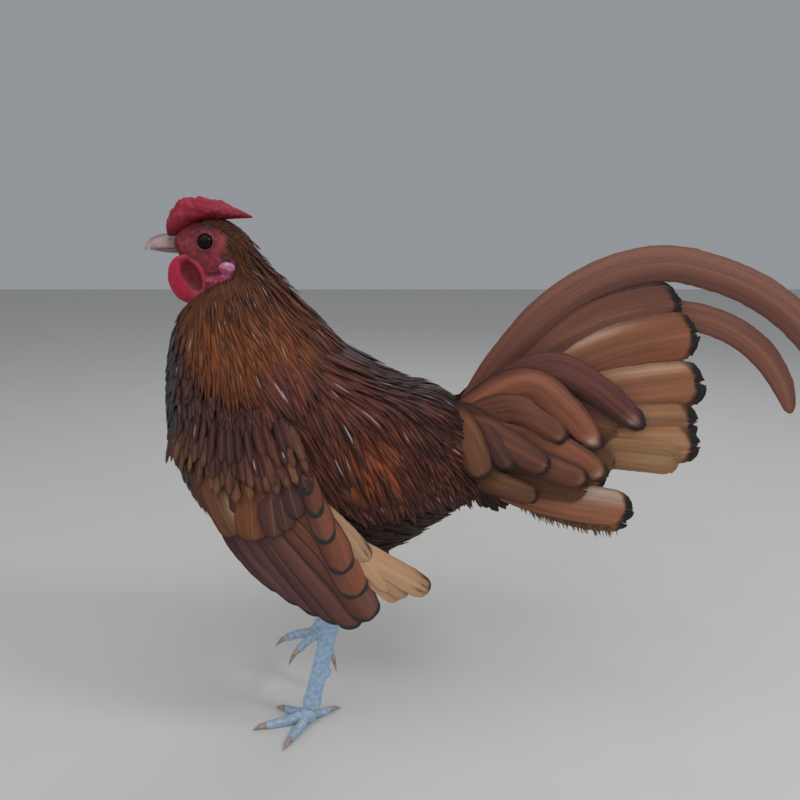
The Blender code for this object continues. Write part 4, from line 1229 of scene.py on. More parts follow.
@dataclass
class Skin:
    """One skin over head, neck, trunk and thighs, with the folds of the bare face.

    Args:
        trunk: the rings that it follows.
        thighs: the two thigh sheets.
        eye: side-view middle of the eye.
        opening: radius of the opening between the lids.
        sink: how far it lies below the solids where feathers cover it.
        around: faces round it.
        rows: faces along it.
        head_share: share of the rows that are on the head.
        fold: side-view line of the fold that runs from the earlobe to the wattle.
        gap: crease over that fold, dented, with painted shade along it.
        brow: line of the brow.
        gape: crease between the face and the bill, dented, with painted shade along it.
        patches: painted patches of the face, as place, half sizes, colour and amount.
    """

    trunk: Trunk
    thighs: Sequence[ThighSheet]
    eye: tuple = (-37.1, 256.9)
    opening: float = 3.35
    sink: float = 1.0
    around: int = 150
    rows: int = 210
    head_share: float = 0.64
    fold: tuple = ((-25.6, 243.8), (-27.6, 241.6), (-31.0, 239.6), (-35.5, 238.6), (-39.5, 239.2))
    gap: tuple = ((-36.5, 241.6), (-33.6, 242.0), (-30.8, 242.5))
    brow: tuple = ((-31.3, 262.3), (-37.3, 263.0), (-43.3, 261.0))
    gape: tuple = ((-52.9, 258.6), (-52.2, 256.6), (-51.3, 254.2), (-49.8, 251.6))
    patches: tuple = (((-30.0, 257.0), (3.6, 5.0), "#983E40", 0.85),
                      ((-46.5, 256.0), (3.4, 3.4), "#8E4850", 0.45),
                      # The next two patches are painted shadow under the comb.
                      ((-41.0, 264.8), (12.0, 3.4), "#4C141C", 0.9),
                      ((-48.5, 260.5), (4.0, 2.2), "#6A2030", 0.7),
                      ((-40.5, 248.5), (5.0, 2.6), "#80303C", 0.5),
                      ((-33.0, 264.0), (5.0, 2.2), "#4E261C", 0.6),
                      ((-32.5, 250.4), (2.2, 2.0), "#8E2440", 0.6))

    def relief(self, p: np.ndarray) -> np.ndarray:
        """How far the skin stands out.

        Args:
            p: points of the face in millimetres.

        Returns:
            Heights over the rings, in millimetres.
        """
        x, z = p[:, 0], p[:, 2]
        r = np.hypot(x - self.eye[0], z - self.eye[1])
        lid = self.opening + 0.75
        out = 1.0 * np.exp(-((r - lid) / 0.6) ** 2) - 0.2 * np.exp(-((r - lid - 1.4) / 0.6) ** 2)
        out -= 2.2 * spot(x, z, (-44.5, 242.0), (6.4, 5.4)) + 2.4 * spot(x, z, (-41.5, 236.8), (3.6, 4.0))
        out += (0.12 * np.exp(-((r - lid - 2.5) / 0.8) ** 2)
                - 2.8 * (1 - ease(r, self.opening - 0.7, self.opening + 0.3)))
        out += 0.75 * np.exp(-(away(x, z, self.brow) / 1.3) ** 2)
        out += 2.0 * np.exp(-(away(x, z, self.fold) / 1.7) ** 2)
        out -= (0.7 * np.exp(-(away(x, z, self.gap) / 0.7) ** 2)
                + 0.5 * np.exp(-(away(x, z, self.gape) / 0.5) ** 2))
        out += 0.7 * spot(x, z, (-45.0, 248.5), (4.0, 3.4)) - 1.0 * spot(x, z, (-30.0, 250.4), (1.7, 1.5))
        out += 0.2 * rough_noise(p, 1.1) + 0.45 * rough_noise(p, 3.0, 5.0)
        return out

    def place(self, s: np.ndarray, t: np.ndarray) -> np.ndarray:
        """Points of the skin over head, neck and trunk.

        Args:
            s: places from the bill to below the tail, most of them on the head.
            t: places round it from the back.

        Returns:
            Points in millimetres.
        """
        neck = (1.0 - self.trunk.first) / (self.trunk.last - self.trunk.first)
        share = np.where(s < self.head_share, s / self.head_share * neck,
                         neck + (s - self.head_share) / (1 - self.head_share) * (1 - neck))
        ring = self.trunk.first + share * (self.trunk.last - self.trunk.first)
        angle = TURN * t
        point = self.trunk.at(ring, angle)
        _, _, normal = self.trunk.slopes(np.clip(ring, self.trunk.first + 0.05, None), angle)
        head = 1 - ease(ring, -0.6, 0.6)
        edge = ease(ring, self.trunk.first, self.trunk.first + 0.4)
        return point + normal * (head * edge * self.relief(point) - (1 - head) * self.sink)[:, None]

    def paint(self, p: np.ndarray) -> np.ndarray:
        """Colours of the bare face, and brown where feathers stand.

        Args:
            p: points in millimetres.

        Returns:
            Linear colours.
        """
        x, z = p[:, 0], p[:, 2]
        r = np.hypot(x - self.eye[0], z - self.eye[1])
        colours = mix("#6E1E28", "#8C2E3A", 0.5 + 0.8 * rough_noise(p, 2.0, 3.0))
        for at, size, colour, amount in self.patches:
            colours = over(colours, colour, spot(x, z, at, size) * amount)
        colours = over(colours, "#783844", 0.7 * np.exp(-((r - self.opening - 1.2) / 0.9) ** 2))
        colours = over(colours, "#2A0E14", 1 - ease(r, self.opening + 0.05, self.opening + 0.6))
        pink = mix("#A02C46", "#D080A8", ease(x, -34.0, -25.0) * 0.6 + 0.8 * rough_noise(p, 1.3, 8.0))
        share = np.exp(-(away(x, z, self.fold) / 1.9) ** 2)[:, None]
        colours = colours * (1 - share) + pink * share
        # Painted shade in the creases over the fold and at the gape.
        colours = over(colours, "#480C18", 0.9 * np.exp(-(away(x, z, self.gap) / 0.75) ** 2))
        colours = over(colours, "#40161C", 0.7 * np.exp(-(away(x, z, self.gape) / 0.55) ** 2))
        border = feathered(x, z) + 0.9 * rough_noise(p, 1.6, 6.0)
        colours = over(colours, "#52261C", 0.85 * ease(border, -2.2, 0.3))
        return over(colours, "#2E140E", ease(border, -0.2, 1.4))

    def build(self) -> bpy.types.Object:
        """Builds the skin as one piece.

        Returns:
            The piece.
        """
        bm = loft(self.place, self.around, self.rows)
        for sheet in self.thighs:
            join(bm, loft(lambda s, t, sheet=sheet: sheet.at(s, TURN * t), 24, 16))
        obj = finish_mesh("skin", bm, self.paint)
        return settle(obj, FACE_SKIN.material(), "face_skin",
                      ("head", "neck", "torso", "thigh_left", "thigh_right"))


@dataclass
class Comb:
    """Rose comb: a low rough cushion that runs back into one leader.

    Args:
        rows: x, lowest z, highest z and half width, from bill to leader.
        around: faces round it.
        along: faces along it.
        knob_size: distance between its lumps.
        knob_height: their height.
    """

    rows: tuple = ((-57.6, 261.0, 263.0, 1.2), (-56.4, 259.0, 268.2, 4.8), (-52.8, 259.6, 273.6, 7.4),
                   (-49.2, 261.6, 276.8, 8.8), (-44.6, 264.0, 277.0, 9.3), (-38.6, 265.6, 277.2, 9.2),
                   (-32.0, 266.6, 275.8, 7.4),
                   (-27.0, 267.2, 273.6, 4.8), (-22.0, 267.6, 271.5, 2.6), (-16.5, 267.9, 268.7, 0.5))
    around: int = 110
    along: int = 124
    knob_size: float = 3.4
    knob_height: float = 1.2

    def place(self, s: np.ndarray, t: np.ndarray) -> np.ndarray:
        """Points of the comb, knobbed above.

        Args:
            s: places from end to end.
            t: places round it.

        Returns:
            Points in millimetres.
        """
        x, low, high, width = np.moveaxis(curve(self.rows, s * (len(self.rows) - 1)), -1, 0)
        turn = TURN * t
        rise = signed_power(np.sin(turn), 0.85)
        point = np.stack((x, width * np.cos(turn), (low + high) / 2 + (high - low) / 2 * rise), -1)
        centre = np.stack((x, np.zeros_like(x), (low + high) / 2), -1)
        outward = unit(point - centre + np.array((1e-6, 0.0, 0.0)))
        fade = ease(s, 0.0, 0.08) * (1 - ease(s, 0.68, 0.95))
        lumps = self.knob_height * knobs(point, self.knob_size) * ease(np.sin(turn), -0.7, 0.0)
        small = 0.3 * knobs(point + 7.0, 1.5) + 0.5 * rough_noise(point, 4.0)
        return point + outward * ((lumps + small - 0.5) * fade)[:, None]

    def paint(self, p: np.ndarray) -> np.ndarray:
        """Crimson, with painted shade low on the sides and between the knobs, and painted light along the top
        and at the rear.

        Args:
            p: points in millimetres.

        Returns:
            Linear colours.
        """
        x, z = p[:, 0], p[:, 2]
        floor = np.interp(x, (-56.0, -47.7, -44.0, -38.9, -30.0), (260.0, 262.0, 265.5, 267.5, 267.5))
        # Painted shade low on the sides and painted light towards the top, over mottled crimson.
        colours = mix("#7C1424", "#A62C44", ease(z - floor, 0.5, 8.5) + 0.45 * rough_noise(p, 4.0))
        # Painted highlight along the top of the rear half.
        colours = over(colours, "#B84460", 0.5 * ease(x, -40.0, -24.0) * ease(z - floor, 1.0, 4.0))
        # Painted shade between the knobs.
        return over(colours, "#6A1020", 0.35 * (1 - ease(knobs(p, self.knob_size), 0.0, 0.35)))

    def build(self) -> bpy.types.Object:
        """Builds the comb."""
        obj = finish_mesh("comb_flesh", loft(self.place, self.around, self.along), self.paint)
        return settle(obj, COMB_SKIN.material(), "comb_skin", ("comb",))


@dataclass
class Bill:
    """Upper and lower halves of the bill, with nostrils.

    Args:
        upper: x, lowest z, highest z and half width of the upper half, from face to tip.
        lower: the same of the lower half.
        nostril: side-view place of the nostril.
        faces: faces round and along each half.
    """

    upper: tuple = ((-50.6, 253.9, 260.8, 3.8), (-54.0, 253.9, 260.9, 3.5), (-57.0, 254.0, 260.8, 3.1),
                    (-62.5, 254.1, 260.0, 2.4), (-66.6, 253.9, 257.8, 1.5), (-69.2, 252.9, 254.2, 0.35))
    lower: tuple = ((-50.6, 251.2, 253.7, 3.2), (-54.0, 251.4, 253.7, 2.9), (-57.0, 251.6, 253.7, 2.6),
                    (-62.5, 252.3, 253.8, 1.8), (-66.4, 253.0, 253.6, 0.5))
    nostril: tuple = (-55.4, 257.8)
    faces: tuple = (56, 52)

    def half(self, name: str, rows: tuple, way: float, node: str) -> bpy.types.Object:
        """Builds one half of the bill.

        Args:
            name: the piece's name.
            rows: x, lowest z, highest z and half width from face to tip.
            way: 1 where it is domed above, -1 where it is domed below.
            node: the CAD node that it replaces.

        Returns:
            The piece.
        """
        def place(s: np.ndarray, t: np.ndarray) -> np.ndarray:
            """Points of the horn, domed on one side and dented at the nostrils.

            Args:
                s: places along it.
                t: places round it.

            Returns:
                Points in millimetres.
            """
            x, low, high, width = np.moveaxis(curve(rows, s * (len(rows) - 1)), -1, 0)
            turn = TURN * t
            flat, dome = (low, high - low) if way > 0 else (high, low - high)
            rise = way * np.sin(turn)
            z = flat + dome * np.maximum(rise, 0.0) ** 0.8 - 0.12 * way * np.maximum(-rise, 0.0)
            point = np.stack((x, width * signed_power(np.cos(turn), 0.9), z), -1)
            dent = (0.7 * spot(x, z, self.nostril, (1.5, 0.6))
                    - 0.25 * spot(x, z - 1.1, self.nostril, (1.9, 0.5)))
            point[:, 1] -= np.sign(point[:, 1]) * dent * (np.abs(point[:, 1]) > 1.0)
            return point
        horn = finish_mesh(name, loft(place, *self.faces), self.paint)
        return settle(horn, BILL_HORN.material(), "beak_horn", (node,))

    def paint(self, p: np.ndarray) -> np.ndarray:
        """Pinkish horn, darker below, along the ridge and at the face.

        Args:
            p: points in millimetres.

        Returns:
            Linear colours.
        """
        x, z = p[:, 0], p[:, 2]
        colours = mix("#8E7674", "#B49C98", ease(-x, 54.0, 63.0) + 0.3 * rough_noise(p, 2.0))
        colours = over(colours, "#5C4A4A", 0.8 * ease(-z, -254.4, -253.4) * (1 - ease(-x, 62.0, 67.0)))
        colours = over(colours, "#6C5654", 0.6 * ease(z - 0.35 * (x + 57.0), 259.3, 260.8))
        colours = over(colours, "#C4B4A8", 0.5 * ease(-x, 65.0, 68.5))
        colours = over(colours, "#5A4648", 0.8 * ease(x, -55.5, -52.8))
        colours = over(colours, "#4A3E40", 0.85 * spot(x + 1.1 * (z - 256.0), z, (-54.4, 256.2), (2.6, 1.0)))
        return over(colours, "#2E2022", spot(x, z, self.nostril, (1.4, 0.65)))

    def build(self) -> None:
        """Builds both halves."""
        self.half("bill_upper", self.upper, 1.0, "beak_upper")
        self.half("bill_lower", self.lower, -1.0, "beak_lower")


@dataclass
class Eye:
    """One eye, as a wet ball with a dark iris, in the solid's place.

    Args:
        side: the bird's side.
        centre: its middle on the left, without the sign of its y.
        radius: the ball's radius.
        pupil: radius of the pupil as a share of it.
    """

    side: Side
    centre: tuple = (-37.1, 8.3, 256.9)
    radius: float = 4.2
    pupil: float = 0.42

    @property
    def middle(self) -> np.ndarray:
        """The ball's middle on its own side."""
        return np.array((self.centre[0], self.side.value * self.centre[1], self.centre[2]))

    def paint(self, p: np.ndarray) -> np.ndarray:
        """Black pupil and nearly black iris."""
        r = np.hypot(p[:, 0] - self.middle[0], p[:, 2] - self.middle[2]) / self.radius
        return mix("#060304", "#261012", ease(r, self.pupil, self.pupil + 0.08) * (1 - ease(r, 0.7, 0.85)))

    def build(self) -> bpy.types.Object:
        """Builds the eyeball, turned so that its pole is the pupil.

        Returns:
            The piece.
        """
        bm = bmesh.new()
        bmesh.ops.create_uvsphere(bm, u_segments=48, v_segments=36, radius=self.radius)
        for vert in bm.verts:
            x, y, z = vert.co
            vert.co = Vector(self.middle) + Vector((x, self.side.value * z, y))
        obj = finish_mesh("eyeball_" + self.side.word, bm, self.paint)
        return settle(obj, EYE_WET.material(), "eye", ("eye_" + self.side.word,))


@dataclass
class Wattle:
    """One wattle, a hanging lobe with a thick rim round a hollow, and the earlobe behind it.

    Args:
        side: the bird's side.
        centre: middle of the wattle, without the sign of its y.
        size: its half width and half height.
        rake: how far its top leans backwards.
        hollow_at: middle of the hollow, in shares of the half sizes.
        hollow: depth of the hollow.
        bulge: half its thickness.
        lobe: middle of the earlobe, without the sign of its y.
        lobe_size: its half sizes.
        faces: faces round and along the wattle.
        lobe_faces: faces round and along the earlobe.
    """

    side: Side
    centre: tuple = (-47.0, 8.1, 239.4)
    size: tuple = (9.5, 11.6)
    rake: float = 0.8
    hollow_at: tuple = (0.26, 0.16)
    hollow: float = 2.6
    bulge: float = 2.7
    lobe: tuple = (-27.3, 11.9, 244.9)
    lobe_size: tuple = (3.6, 1.9, 2.8)
    faces: tuple = (84, 70)
    lobe_faces: tuple = (56, 40)

    def dip(self, across: np.ndarray, down: np.ndarray) -> np.ndarray:
        """How deep in the hollow a place of the wattle is, 1 in its middle.

        Args:
            across: places across in half widths, 1 at the rear.
            down: places up in half heights, 1 at the top.

        Returns:
            Shares of the full depth.
        """
        u, v = across - self.hollow_at[0], down - self.hollow_at[1]
        return 1 - ease(np.hypot((u * 0.52 - v * 0.85) / 0.92, (u * 0.85 + v * 0.52) / 0.56), 0.4, 1.0)

    def place(self, s: np.ndarray, t: np.ndarray) -> np.ndarray:
        """Points of the wattle.

        Args:
            s: places from its top to its bottom.
            t: places round it.

        Returns:
            Points in millimetres.
        """
        polar, turn = math.pi * s, TURN * t
        across, down = np.sin(polar) * np.cos(turn), np.cos(polar)
        x = self.centre[0] + self.size[0] * across - self.rake * down
        z = self.centre[2] + self.size[1] * down
        face = np.maximum(np.sin(turn), 0.0) ** 0.5
        y = self.centre[1] + 0.6 - 1.3 * (1 - down) + self.bulge * np.sin(polar) * np.sin(turn)
        y = y + 2.6 * np.maximum(across, 0.0)
        y = y - self.hollow * self.dip(across, down) * face
        point = np.stack((x, self.side.value * y, z), -1)
        wave = 0.5 * rough_noise(point, 4.2, 3.0) + 0.14 * knobs(point, 1.3)
        point[:, 1] += self.side.value * wave * np.sin(turn)
        point[:, 0] += 0.45 * rough_noise(point, 4.5, 9.0)
        return point

    def paint(self, p: np.ndarray) -> np.ndarray:
        """Bright in front, pinker on the lower rim, and painted dark in the hollow as its shade.

        Args:
            p: points in millimetres.

        Returns:
            Linear colours.
        """
        down = (p[:, 2] - self.centre[2]) / self.size[1]
        across = (p[:, 0] - self.centre[0] + self.rake * down) / self.size[0]
        colours = mix("#B01C3E", "#A0243A", 0.5 + across + 0.5 * rough_noise(p, 3.0))
        colours = over(colours, "#AC4058", 0.9 * ease(-down + 0.9 * across, 0.55, 1.0))
        colours = over(colours, "#A03A50", 0.7 * ease(down, 0.7, 1.0))
        # Painted shade in the hollow.
        return over(colours, "#5C0A18", 0.95 * ease(self.dip(across, down), 0.05, 0.6))

    def lobe_place(self, s: np.ndarray, t: np.ndarray) -> np.ndarray:
        """Points of the earlobe.

        Args:
            s: places from its top to its bottom.
            t: places round it.

        Returns:
            Points in millimetres.
        """
        polar, turn = math.pi * s, TURN * t
        ball = np.stack((np.sin(polar) * np.cos(turn), np.sin(polar) * np.sin(turn), np.cos(polar)), -1)
        point = np.array((self.lobe[0], self.side.value * self.lobe[1], self.lobe[2])) + ball * self.lobe_size
        return point + ball * (0.35 * rough_noise(point, 1.6) + 0.3 * knobs(point, 1.1))[:, None]

    def lobe_paint(self, p: np.ndarray) -> np.ndarray:
        """Pearly white above and behind, redder towards the fold."""
        high = ease(p[:, 2] + 0.5 * (p[:, 0] - self.lobe[0]), 242.4, 247.4)
        return mix("#A03252", "#D0A0CC", high * 0.75 + 0.6 * rough_noise(p, 1.0, 4.0))

    def build(self) -> None:
        """Builds the wattle and the earlobe."""
        obj = finish_mesh("wattle_flesh_" + self.side.word, loft(self.place, *self.faces), self.paint)
        settle(obj, WATTLE_SKIN.material(), "wattle_skin", ("wattle_" + self.side.word,))
        lobe = finish_mesh("earlobe_skin_" + self.side.word, loft(self.lobe_place, *self.lobe_faces),
                           self.lobe_paint)
        settle(lobe, LOBE_SKIN.material(), "earlobe_skin", ("earlobe_" + self.side.word,))


@dataclass
class NeckCoat:
    """Head feathers, ear tufts and hackles: narrow feathers that lie down the neck.

    Args:
        trunk: the rings that they grow on.
        row_gap: distance from row to row.
        gap: distance from root to root in a row.
        head_roots: first and last ring, row gap, gap and jitter of the head's feathers.
        tuft: number of feathers over each ear.
    """

    trunk: Trunk
    row_gap: float = 2.3
    gap: float = 1.8
    head_roots: tuple = (-2.9, 0.5, 1.25, 1.15, 0.4)
    tuft: int = 80

    def edge(self, t: np.ndarray) -> np.ndarray:
        """Ring number where the hackle ends at each angle from the back."""
        turn = from_back(t)
        return np.interp(turn, (0.0, 0.5, 1.0, 1.57, 1.9, 2.2, 2.6, math.pi),
                         (3.05, 3.2, 3.6, 3.85, 3.6, 3.0, 1.9, 1.3))

    def build(self) -> None:
        """Builds the hackle and the short feathers of the head."""
        rng = np.random.default_rng(SEEDS["neck"])
        self.head(rng)
        a, b = self.trunk.scatter(-0.9, 3.3, self.row_gap, self.gap, 0.45, rng)
        point = self.trunk.at(a, b)
        grows = (feathered(point[:, 0], point[:, 2]) > 0.2) & (a < self.edge(b) - 0.9)
        a, b, point = a[grows], b[grows], point[grows]
        along, _, _ = self.trunk.slopes(a, b)
        nominal = np.interp(a, (-0.9, -0.3, 0.5, 1.5, 2.6), (8.0, 13.0, 23.0, 31.0, 36.0))
        reach = (self.edge(b) - a) * np.linalg.norm(along, axis=1)
        length = np.minimum(nominal, reach) * rng.uniform(0.78, 1.14, len(a))
        half = np.interp(a, (-0.9, 0.0, 1.0, 3.0), (0.75, 0.95, 1.25, 1.7)) * rng.uniform(0.75, 1.2, len(a))
        turn = from_back(b)
        patchy = 0.4 * rough_noise(point, 7.0, 2.0) + rng.uniform(-0.3, 0.3, len(a))
        golden = ease(a, -0.2, 1.9) * (0.35 + 0.65 * ease(turn, 0.35, 1.2)) + patchy
        tint = mix("#45241A", "#864418", golden)
        tint = over(tint, "#5A241A", 0.75 * ease(turn, 0.9, 0.15) * ease(a, -0.5, 0.5) + patchy * 0.4)
        tint = over(tint, "#451A14", 0.75 * ease(self.edge(b) - a, 1.9, 0.9) + patchy * 0.3)
        stray = rng.uniform(-0.13, 0.13, len(a))

        def heading(p: np.ndarray, a: np.ndarray, b: np.ndarray, along: np.ndarray,
                    around: np.ndarray) -> np.ndarray:
            """Down the neck, with locks that drift to one side."""
            drift = stray + 0.14 * np.sin(0.21 * p[:, 0] + 4.0 * b) * np.cos(0.16 * p[:, 2] + 1.0)
            return unit(along) + unit(around) * drift[:, None]
        nape = 1.5 * ease(turn, 1.0, 0.3) * ease(a, 2.0, 0.6)
        lift = (np.full(len(a), -0.1), np.interp(a, (-1.0, 0.5, 2.0), (0.8, 1.5, 2.0)) + nape)
        plumes = grow(self.trunk, a, b, heading, length, half, Outline.LANCE, lift, tint, rng, roll=12.0)
        # Painted shade: each feather darkens towards its tip, for the dark gaps between them.
        shadow = (Mark(0.0, 1.02, 3.0, 0.2, "#3E1A12", 0.6),)
        plumes.marks = (shadow,) * len(a)
        Coat("hackle", HACKLE, "hackle_feathers", camber=0.14, ragged=0.3).build(plumes, ())
        self.tufts(rng)

    def head(self, rng: np.random.Generator) -> None:
        """Builds the short, close feathers behind the face and over the crown.

        Args:
            rng: the seeded random source.
        """
        a, b = self.trunk.scatter(*self.head_roots, rng)
        point = self.trunk.at(a, b)
        grows = feathered(point[:, 0], point[:, 2]) > rng.uniform(-1.1, 0.9, len(a))
        a, b, point = a[grows], b[grows], point[grows]
        length = np.interp(a, (-2.9, -1.0, 0.5), (2.6, 4.4, 7.5)) * rng.uniform(0.75, 1.25, len(a))
        half = np.interp(a, (-2.9, -1.0, 0.5), (0.55, 0.6, 0.8)) * rng.uniform(0.8, 1.2, len(a))
        patchy = 0.5 * rough_noise(point, 5.0, 4.0) + rng.uniform(-0.3, 0.3, len(a))
        tint = mix("#402219", "#5E3824", 0.5 + patchy)
        tint = over(tint, "#6A3A1E", 0.6 * ease(point[:, 2], 246.0, 238.0))
        lift = (np.full(len(a), 0.05), np.full(len(a), 0.7))
        plumes = grow(self.trunk, a, b, BodyCoat.down_neck, length, half, Outline.SCALLOP, lift, tint, rng,
                      stations=6, roll=8.0)
        Coat("head_feathers", HEAD, "hackle_feathers", columns=2, thick=0.25, camber=0.15).build(plumes, ())

    def tufts(self, rng: np.random.Generator) -> None:
        """Builds the dark tufts over the ears.

        Args:
            rng: the seeded random source.
        """
        groups = []
        for side in Side:
            count = self.tuft
            x, z = rng.normal(-29.6, 1.0, count), rng.normal(250.2, 0.95, count)
            start = np.stack((x, np.full(count, side.value * 11.2), z), -1)
            v = np.linspace(0, 1, 6)
            way = unit(np.stack((np.full(count, 1.0), side.value * rng.uniform(-0.02, 0.14, count),
                                 rng.uniform(-0.5, 0.2, count)), -1))
            line = straight(start, way, v, rng.uniform(2.0, 4.6, count))
            line[..., 2] -= 0.5 * v[None] ** 2
            up = np.tile((0.0, float(side.value), 0.15), (count, 6, 1))
            half = 0.24 * np.interp(v, *Outline.TUFT.value)[None] * rng.uniform(0.8, 1.2, (count, 1))
            patch = np.stack((0.3 + 0.4 * (side.value > 0) + (x + 34) / 40, 0.4 + (z - 249) / 40), -1)
            tint = mix("#4E262C", "#7E5850", rng.uniform(0, 1, count) ** 1.5)
            groups.append(Plumes(line, up, half, tint, patch, rng.uniform(0, 1, count)))
        Coat("ear_tufts", HEAD, "hackle_feathers", columns=2, thick=0.25).build(Plumes.together(groups), ())


@dataclass
class BodyCoat:
    """Breast, back, saddle, belly and thigh feathers.

    Args:
        trunk: the rings that they grow on.
        thighs: the two thigh sheets.
        neck: the neck's coat, whose edge the breast starts from.
        breast_roots: first and last ring, row gap, gap and jitter of the breast's feathers.
        saddle_roots: the same of back and saddle.
        belly_roots: the same of flank, belly and stern.
        thigh_roots: rows of feathers on a thigh, and feathers in a row.
    """

    trunk: Trunk
    thighs: Sequence[ThighSheet]
    neck: NeckCoat
    breast_roots: tuple = (0.9, 7.2, 3.6, 3.2, 0.45)
    saddle_roots: tuple = (2.6, 10.9, 3.5, 2.6, 0.5)
    belly_roots: tuple = (5.2, 11.0, 4.6, 4.4, 0.35)
    thigh_roots: tuple = (21, 30)

    @staticmethod
    def down_neck(p: np.ndarray, a: np.ndarray, b: np.ndarray, along: np.ndarray,
                  around: np.ndarray) -> np.ndarray:
        """Along the rings, down the breast and back under the belly."""
        return unit(along)

    @staticmethod
    def saddle_way(p: np.ndarray, a: np.ndarray, b: np.ndarray, along: np.ndarray,
                   around: np.ndarray) -> np.ndarray:
        """Along the back on top, and ever steeper down the flank.

        Args:
            p: points of the surface.
            a: ring numbers.
            b: angles from the back.
            along: how the point moves with a.
            around: how the point moves with b.

        Returns:
            Directions of growth.
        """
        turn = from_back(b)
        sway = 7.0 * np.sin(0.19 * p[:, 0] + 0.13 * p[:, 2])
        slope = np.radians(20.0 + 44.0 * ease(turn, 0.15, 1.25) + sway)
        return np.stack((np.cos(slope), np.zeros_like(slope), -np.sin(slope)), -1)

    @staticmethod
    def rear_way(p: np.ndarray, a: np.ndarray, b: np.ndarray, along: np.ndarray,
                 around: np.ndarray) -> np.ndarray:
        """Backwards and a little down."""
        return np.tile((0.92, 0.0, -0.38), (len(a), 1))

    def breast(self) -> None:
        """Builds the dark breast."""
        rng = np.random.default_rng(SEEDS["breast"])
        a, b = self.trunk.scatter(*self.breast_roots, rng)
        turn = from_back(b)
        grows = (turn > 1.0) & (a > self.neck.edge(b) - 0.7)
        a, b, turn = a[grows], b[grows], turn[grows]
        side = ease(turn, 2.75, 2.2) + ease(a, 4.2, 5.6) * 0.6 + rng.uniform(-0.25, 0.2, len(a))
        tint = mix("#282A34", "#40201E", side)
        tint = over(tint, "#6A4038", 0.5 * rng.uniform(0, 1, len(a)) ** 3 * ease(side, 0.4, 0.9))
        for name, finish, chosen in (("breast_front", BREAST, turn > 2.45),
                                     ("breast_side", BOW, turn <= 2.45)):
            count = int(chosen.sum())
            plumes = grow(self.trunk, a[chosen], b[chosen], self.down_neck, rng.uniform(11.0, 15.0, count),
                          rng.uniform(1.6, 2.6, count), Outline.SCALLOP, (-0.2, 1.6), tint[chosen], rng,
                          roll=12.0)
            Coat(name, finish, "body_feathers", ragged=0.4, ragged_from=0.3).build(plumes, ())

    def saddle(self) -> None:
        """Builds the back and the long saddle hackles, which hang over the flank."""
        rng = np.random.default_rng(SEEDS["saddle"])
        a, b = self.trunk.scatter(*self.saddle_roots, rng)
        turn = from_back(b)
        point = self.trunk.at(a, b)
        grows = (turn < 1.6) & (point[:, 2] > 136.0) & (point[:, 0] > -14.0)
        a, b, turn, point = a[grows], b[grows], turn[grows], point[grows]
        length = rng.uniform(24.0, 36.0, len(a)) * (0.5 + 0.5 * ease(point[:, 2], 142.0, 172.0))
        length *= 1 - 0.4 * ease(point[:, 0], 52.0, 72.0)
        half = rng.uniform(1.3, 2.4, len(a))
        rear = ease(point[:, 0], 66.0, 84.0)
        patchy = 0.5 * rough_noise(point, 7.0, 6.0) + rng.uniform(-0.35, 0.35, len(a))
        tint = mix("#2A1416", "#6A301E", ease(turn, 0.35, 1.0) * 0.75 + patchy)
        tint = over(tint, "#281A22", 0.9 * ease(turn, 0.65, 0.15) + patchy * 0.4)
        rusty = spot(point[:, 0], point[:, 2], (33.0, 170.0), (16.0, 18.0)) + 0.7 * patchy
        tint = over(tint, "#A04A1C", 0.85 * ease(rusty, 0.45, 1.0))
        tint = over(tint, "#3A1E1A", 0.7 * rear)
        plumes = grow(self.trunk, a, b, self.saddle_way, length, half, Outline.LANCE,
                      (0.3 + 3.0 * rear, 4.0 + 6.0 * rear), tint, rng, roll=14.0)
        # Painted shade: each feather darkens towards its tip, for the dark gaps between them.
        plumes.marks = ((Mark(0.0, 1.02, 3.0, 0.22, "#1E0E0C", 0.6),),) * len(a)
        for side, half_of_it in ((Side.LEFT, b < math.pi), (Side.RIGHT, b >= math.pi)):
            Coat("saddle_hackle_" + side.word, SADDLE, "body_feathers", camber=0.14,
                 ragged=0.3).build(plumes.chosen(half_of_it), ())

    def belly(self) -> None:
        """Builds the dark fluff of flank, belly and stern."""
        rng = np.random.default_rng(SEEDS["belly"])
        a, b = self.trunk.scatter(*self.belly_roots, rng)
        turn = from_back(b)
        high = self.trunk.at(a, b)[:, 2]
        grows = ((turn > 1.75) | (high < 133.0)) & ~((a < 6.9) & (turn > 1.45))
        a, b = a[grows], b[grows]
        tint = mix("#1C1211", "#46281E", rng.uniform(0, 1, len(a)) ** 1.5)
        plumes = grow(self.trunk, a, b, self.rear_way, rng.uniform(12.0, 18.0, len(a)),
                      rng.uniform(2.6, 3.8, len(a)), Outline.TUFT, (-0.2, 2.2), tint, rng, stations=8,
                      roll=10.0)
        Coat("belly_fluff", FLUFF, "body_feathers", ragged=0.6, ragged_from=0.2).build(plumes, ())

    def thigh(self) -> None:
        """Builds the thigh feathers of both legs."""
        rng = np.random.default_rng(SEEDS["thigh"])
        groups = []
        for sheet in self.thighs:
            rows, ring = self.thigh_roots
            a = np.repeat(np.linspace(0.1, 0.96, rows), ring) + rng.uniform(-0.015, 0.015, rows * ring)
            turns = np.tile(np.arange(ring), rows) + np.repeat(np.arange(rows) % 2, ring) * 0.5
            turns = (turns + rng.uniform(-0.3, 0.3, len(a))) / ring * TURN
            tint = mix("#241816", "#4C3228", rng.uniform(0, 1, len(a)) ** 1.4)
            length = np.interp(a, (0.1, 0.96), (12.0, 5.5)) * rng.uniform(0.8, 1.2, len(a))
            groups.append(grow(sheet, a, turns, self.down_neck, length, np.interp(a, (0.1, 0.96), (2.4, 1.2)),
                               Outline.SCALLOP, (-0.3, 1.5), tint, rng, stations=6, roll=12.0))
        Coat("thigh_feathers", FLUFF, "body_feathers", ragged=0.4).build(Plumes.together(groups), ())

    def build(self) -> None:
        """Builds all four."""
        self.breast()
        self.saddle()
        self.belly()
        self.thigh()


